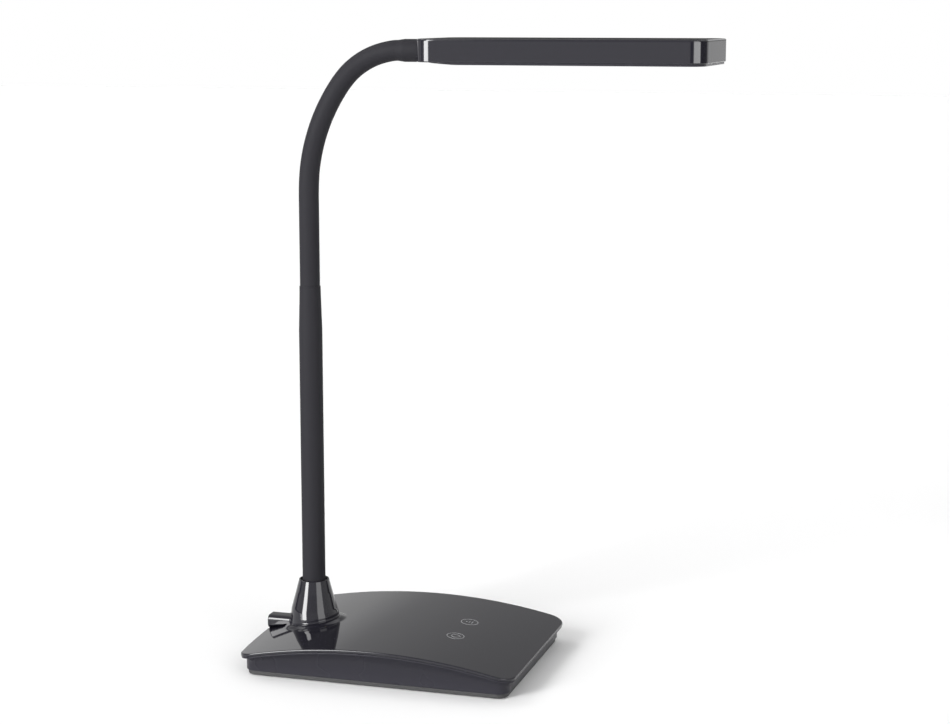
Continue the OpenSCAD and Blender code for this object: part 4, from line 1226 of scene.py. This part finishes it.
@dataclass
class Studio:
    """Camera, floor, and a world whose soft windows are the light."""

    camera_at: tuple = (447.0, -1320.6, 453.8)
    azimuth: float = 16.69
    pitch: float = 9.79
    lens: float = 77.13
    sensor: float = 36.0
    sight: float = 200.0
    floor_size: float = 20.0
    floor_color: tuple = (0.90, 0.90, 0.90, 1.0)
    # Sine of the elevation where the room's ramp begins
    ramp_low: float = -0.1
    # Brightness of the room by elevation in degrees
    room: tuple = (
        (-2.0, 1.0), (-0.4, 1.0), (0.3, 0.06), (1.5, 0.06), (4.0, 0.8), (12.5, 0.74), (16.0, 0.51),
        (22.0, 0.42), (32.0, 0.38), (40.0, 0.97), (66.0, 0.6), (76.0, 0.3), (90.0, 0.3),
    )
    # Soft windows and dark flags: azimuth, half width, elevation, half height in degrees, and level
    windows: tuple = (
        (-121.5, 10.5, 18.5, 17.5, 19.0),
        (-37.0, 17.0, 17.5, 16.5, 3.0),
        (-132.6, 14.0, -1.0, 1.2, 18.0),
        (-167.0, 10.0, -1.0, 1.2, -0.65),
        (-32.5, 21.0, -1.0, 1.2, 6.0),
        (-67.0, 8.5, -1.0, 1.2, -0.85),
        (22.0, 30.0, -1.0, 1.2, -0.85),
        (80.0, 24.0, -1.0, 1.2, -0.42),
        (165.0, 12.0, -1.0, 1.2, -0.5),
        (172.0, 26.0, 44.0, 9.0, 3.0),
    )

    def build_camera(self) -> None:
        """Camera at the photograph's place, level across, looking down by its pitch."""
        data = bpy.data.cameras.new("camera")
        data.sensor_fit = "HORIZONTAL"
        data.sensor_width = self.sensor
        data.lens = self.lens
        data.clip_end = self.sight
        camera = bpy.data.objects.new("camera", data)
        bpy.context.scene.collection.objects.link(camera)
        azimuth, pitch = math.radians(self.azimuth), math.radians(self.pitch)
        level = math.cos(pitch)
        look = Vector((-math.sin(azimuth) * level, math.cos(azimuth) * level, -math.sin(pitch)))
        camera.location = Vector(self.camera_at) * MM
        camera.rotation_euler = look.to_track_quat("-Z", "Y").to_euler()
        bpy.context.scene.camera = camera

    def build_floor(self) -> None:
        """Pale floor: one large flat square under the lamp."""
        half = self.floor_size / 2
        mesh = bpy.data.meshes.new("floor")
        corners = [(-half, -half, 0), (half, -half, 0), (half, half, 0), (-half, half, 0)]
        mesh.from_pydata(corners, [], [(0, 1, 2, 3)])
        floor = link("floor", mesh)
        material = bpy.data.materials.new("pale_floor")
        material.use_nodes = True
        set_inputs(material.node_tree.nodes["Principled BSDF"], {
            "Base Color": self.floor_color, "Roughness": 0.6, "Specular IOR Level": 0.2,
        })
        mesh.materials.append(material)

    def build_world(self) -> None:
        """Surroundings: white to the camera, a pale room with soft windows to everything else."""
        world = bpy.data.worlds.new("studio")
        world.use_nodes = True
        tree = world.node_tree
        wire = tree.links.new
        place = add_node(tree, "ShaderNodeTexCoord")
        split = add_node(tree, "ShaderNodeSeparateXYZ")
        wire(place.outputs["Generated"], split.inputs["Vector"])
        height = add_node(tree, "ShaderNodeMapRange", {"From Min": self.ramp_low, "To Max": 1.0})
        wire(split.outputs["Z"], height.inputs["Value"])
        ramp = add_node(tree, "ShaderNodeValToRGB")
        wire(height.outputs["Result"], ramp.inputs["Fac"])
        stops = ramp.color_ramp.elements
        for stop, (_, level) in zip(list(stops), (self.room[0], self.room[-1])):
            stop.color = (level, level, level, 1.0)
        for elevation, level in self.room[:-1]:
            sine = math.sin(math.radians(elevation))
            stop = stops.new((sine - self.ramp_low) / (1.0 - self.ramp_low))
            stop.color = (level, level, level, 1.0)
        total = ramp.outputs["Color"]
        window = make_window()
        labels = ("Azimuth", "Half Width", "Elevation", "Half Height", "Level")
        for sizes in self.windows:
            one = add_group(tree, window, dict(zip(labels, sizes)))
            wire(place.outputs["Generated"], one.inputs["Direction"])
            add = add_math(tree, "ADD")
            wire(total, add.inputs[0])
            wire(one.outputs["Light"], add.inputs[1])
            total = add.outputs["Value"]
        room = set_inputs(tree.nodes["Background"], {"Color": WHITE})
        wire(total, room.inputs["Strength"])
        white = add_node(tree, "ShaderNodeBackground", {"Color": WHITE})
        rays = add_node(tree, "ShaderNodeLightPath")
        pick = add_node(tree, "ShaderNodeMixShader")
        wire(rays.outputs["Is Camera Ray"], pick.inputs["Fac"])
        wire(room.outputs["Background"], pick.inputs[1])
        wire(white.outputs["Background"], pick.inputs[2])
        wire(pick.outputs["Shader"], tree.nodes["World Output"].inputs["Surface"])
        bpy.context.scene.world = world

    def build(self) -> None:
        """Builds the whole studio."""
        self.build_camera()
        self.build_floor()
        self.build_world()
        bpy.context.scene.view_settings.view_transform = "Standard"


def main() -> None:
    """Builds the lamp's pieces in order and reports each one."""
    logging.basicConfig(level=logging.INFO, format="%(name)s: %(message)s")
    Studio().build()
    paint = Paint()
    paint.dress_nodes()
    base = Base(paint)
    foot = Foot(paint, base)
    neck = Neck(paint)
    head = Head(paint)
    steps = [base.build_plate, base.build_housing, base.build_cover, foot.build_bell, foot.build_inlet,
             foot.build_grommet, neck.build_sleeve, neck.build_skin, neck.build_cuff, head.build_shell,
             head.build_frame, head.build_diffuser]
    for step in steps:
        step()
        LOG.info("%s done", step.__qualname__)


if __name__ == "__main__":
    main()
